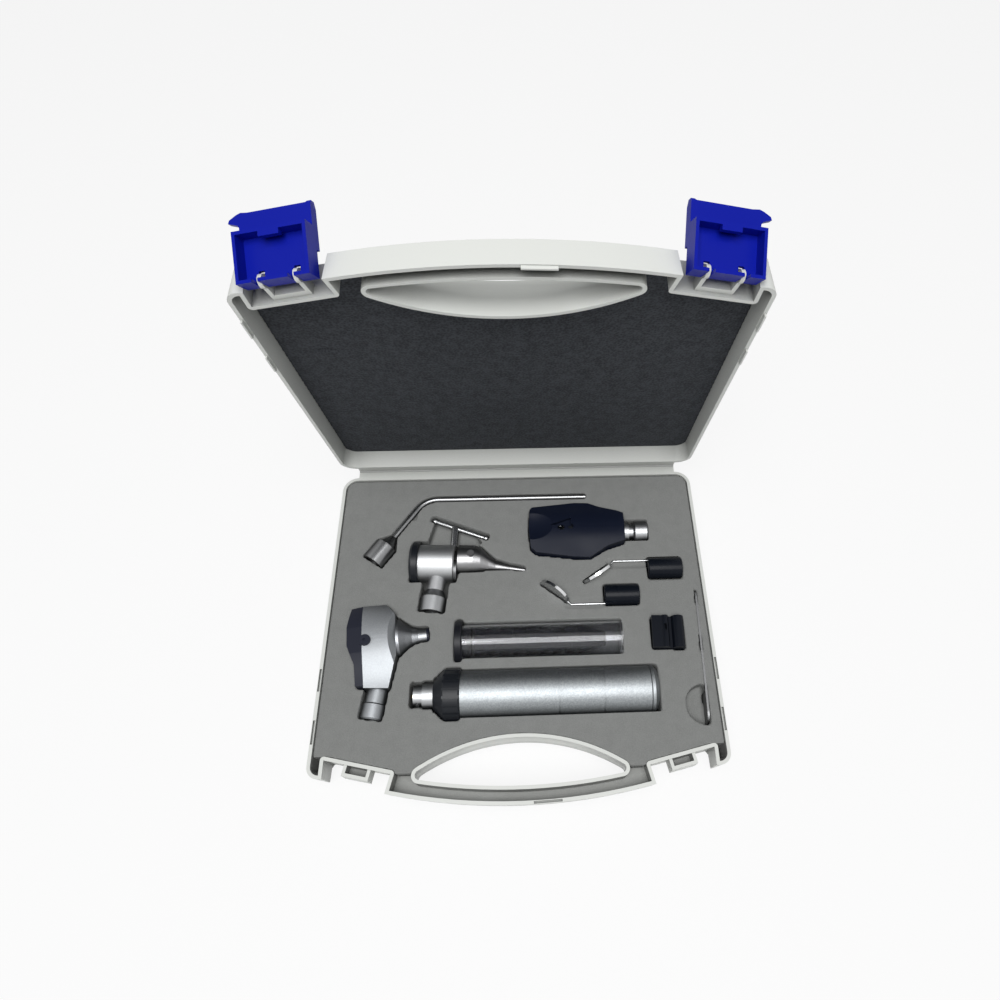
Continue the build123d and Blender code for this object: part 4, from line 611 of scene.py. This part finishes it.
def sees_background(tree):
    """1 for rays that show the background: seen by the camera, mirrored or through glass."""
    path = tree_node(tree, "ShaderNodeLightPath")
    first = tree_node(tree, "ShaderNodeMath", operation="MAXIMUM")
    second = tree_node(tree, "ShaderNodeMath", operation="MAXIMUM")
    tree.links.new(path.outputs["Is Camera Ray"], first.inputs[0])
    tree.links.new(path.outputs["Is Glossy Ray"], first.inputs[1])
    tree.links.new(first.outputs[0], second.inputs[0])
    tree.links.new(path.outputs["Is Transmission Ray"], second.inputs[1])
    return second


FLOOR_WHITE = (0.92, 0.92, 0.92)
FLOOR_GLOW = 0.85
floor_white, floor_shader = finish_of("white_floor", FLOOR_WHITE, roughness=0.8, Specular_IOR_Level=0.1)
floor_tree = floor_white.node_tree
glow = tree_node(floor_tree, "ShaderNodeEmission", Strength=1.0)
blend = tree_node(floor_tree, "ShaderNodeMixShader")
share = tree_node(floor_tree, "ShaderNodeMath", operation="MULTIPLY")
share.inputs[1].default_value = FLOOR_GLOW
floor_tree.links.new(sees_background(floor_tree).outputs[0], share.inputs[0])
floor_tree.links.new(share.outputs[0], blend.inputs[0])
floor_tree.links.new(floor_shader.outputs[0], blend.inputs[1])
floor_tree.links.new(glow.outputs[0], blend.inputs[2])
floor_tree.links.new(blend.outputs[0], floor_tree.nodes["Material Output"].inputs["Surface"])
floor_mesh = bpy.data.meshes.new("floor")
half = FLOOR_SIZE / 2
floor_corners = [(-half, -half, 0), (half, -half, 0), (half, half, 0), (-half, half, 0)]
floor_mesh.from_pydata(floor_corners, [], [(0, 1, 2, 3)])
floor_mesh.materials.append(floor_white)
floor = bpy.data.objects.new("floor", floor_mesh)
bpy.context.scene.collection.objects.link(floor)

AMBIENT_TINT = (0.97, 0.98, 1.0, 1.0)
AMBIENT_STRENGTH = 0.15
world = bpy.data.worlds.new("studio")
bpy.context.scene.world = world
world.use_nodes = True
world_tree = world.node_tree
ambient = world_tree.nodes["Background"]
ambient.inputs["Color"].default_value = AMBIENT_TINT
ambient.inputs["Strength"].default_value = AMBIENT_STRENGTH
backdrop = tree_node(world_tree, "ShaderNodeBackground", Strength=1.0)
choose = tree_node(world_tree, "ShaderNodeMixShader")
world_tree.links.new(sees_background(world_tree).outputs[0], choose.inputs[0])
world_tree.links.new(ambient.outputs[0], choose.inputs[1])
world_tree.links.new(backdrop.outputs[0], choose.inputs[2])
world_tree.links.new(choose.outputs[0], world_tree.nodes["World Output"].inputs["Surface"])


def area_lamp(name, place, aim, size, power):
    lamp = bpy.data.lights.new(name, "AREA")
    lamp.size = size
    lamp.energy = power
    holder = bpy.data.objects.new(name, lamp)
    holder.location = place
    holder.rotation_euler = (Vector(aim) - Vector(place)).to_track_quat("-Z", "Y").to_euler()
    bpy.context.scene.collection.objects.link(holder)


LAMP_AIM = (0, 0, 0.05)
area_lamp("key", (-0.02, -0.42, 1.34), LAMP_AIM, size=0.9, power=14.0)
area_lamp("glint", (-0.25, -0.40, 1.30), LAMP_AIM, size=0.28, power=1.4)

CAMERA_PLACE = (9.7, -157.8, 442.4)
CAMERA_ANGLES = (29.42, -1.23, -2.15)
CAMERA_LENS = 24.90
CAMERA_SENSOR = 36.0
CAMERA_SHIFT = (-0.0582, 0.0035)
camera_data = bpy.data.cameras.new("camera")
camera_data.lens = CAMERA_LENS
camera_data.sensor_width = CAMERA_SENSOR
camera_data.shift_x, camera_data.shift_y = CAMERA_SHIFT
camera = bpy.data.objects.new("camera", camera_data)
camera.location = Vector(CAMERA_PLACE) * MM
camera.rotation_euler = [math.radians(a) for a in CAMERA_ANGLES]
bpy.context.scene.collection.objects.link(camera)
bpy.context.scene.camera = camera
bpy.context.scene.view_settings.view_transform = "Standard"
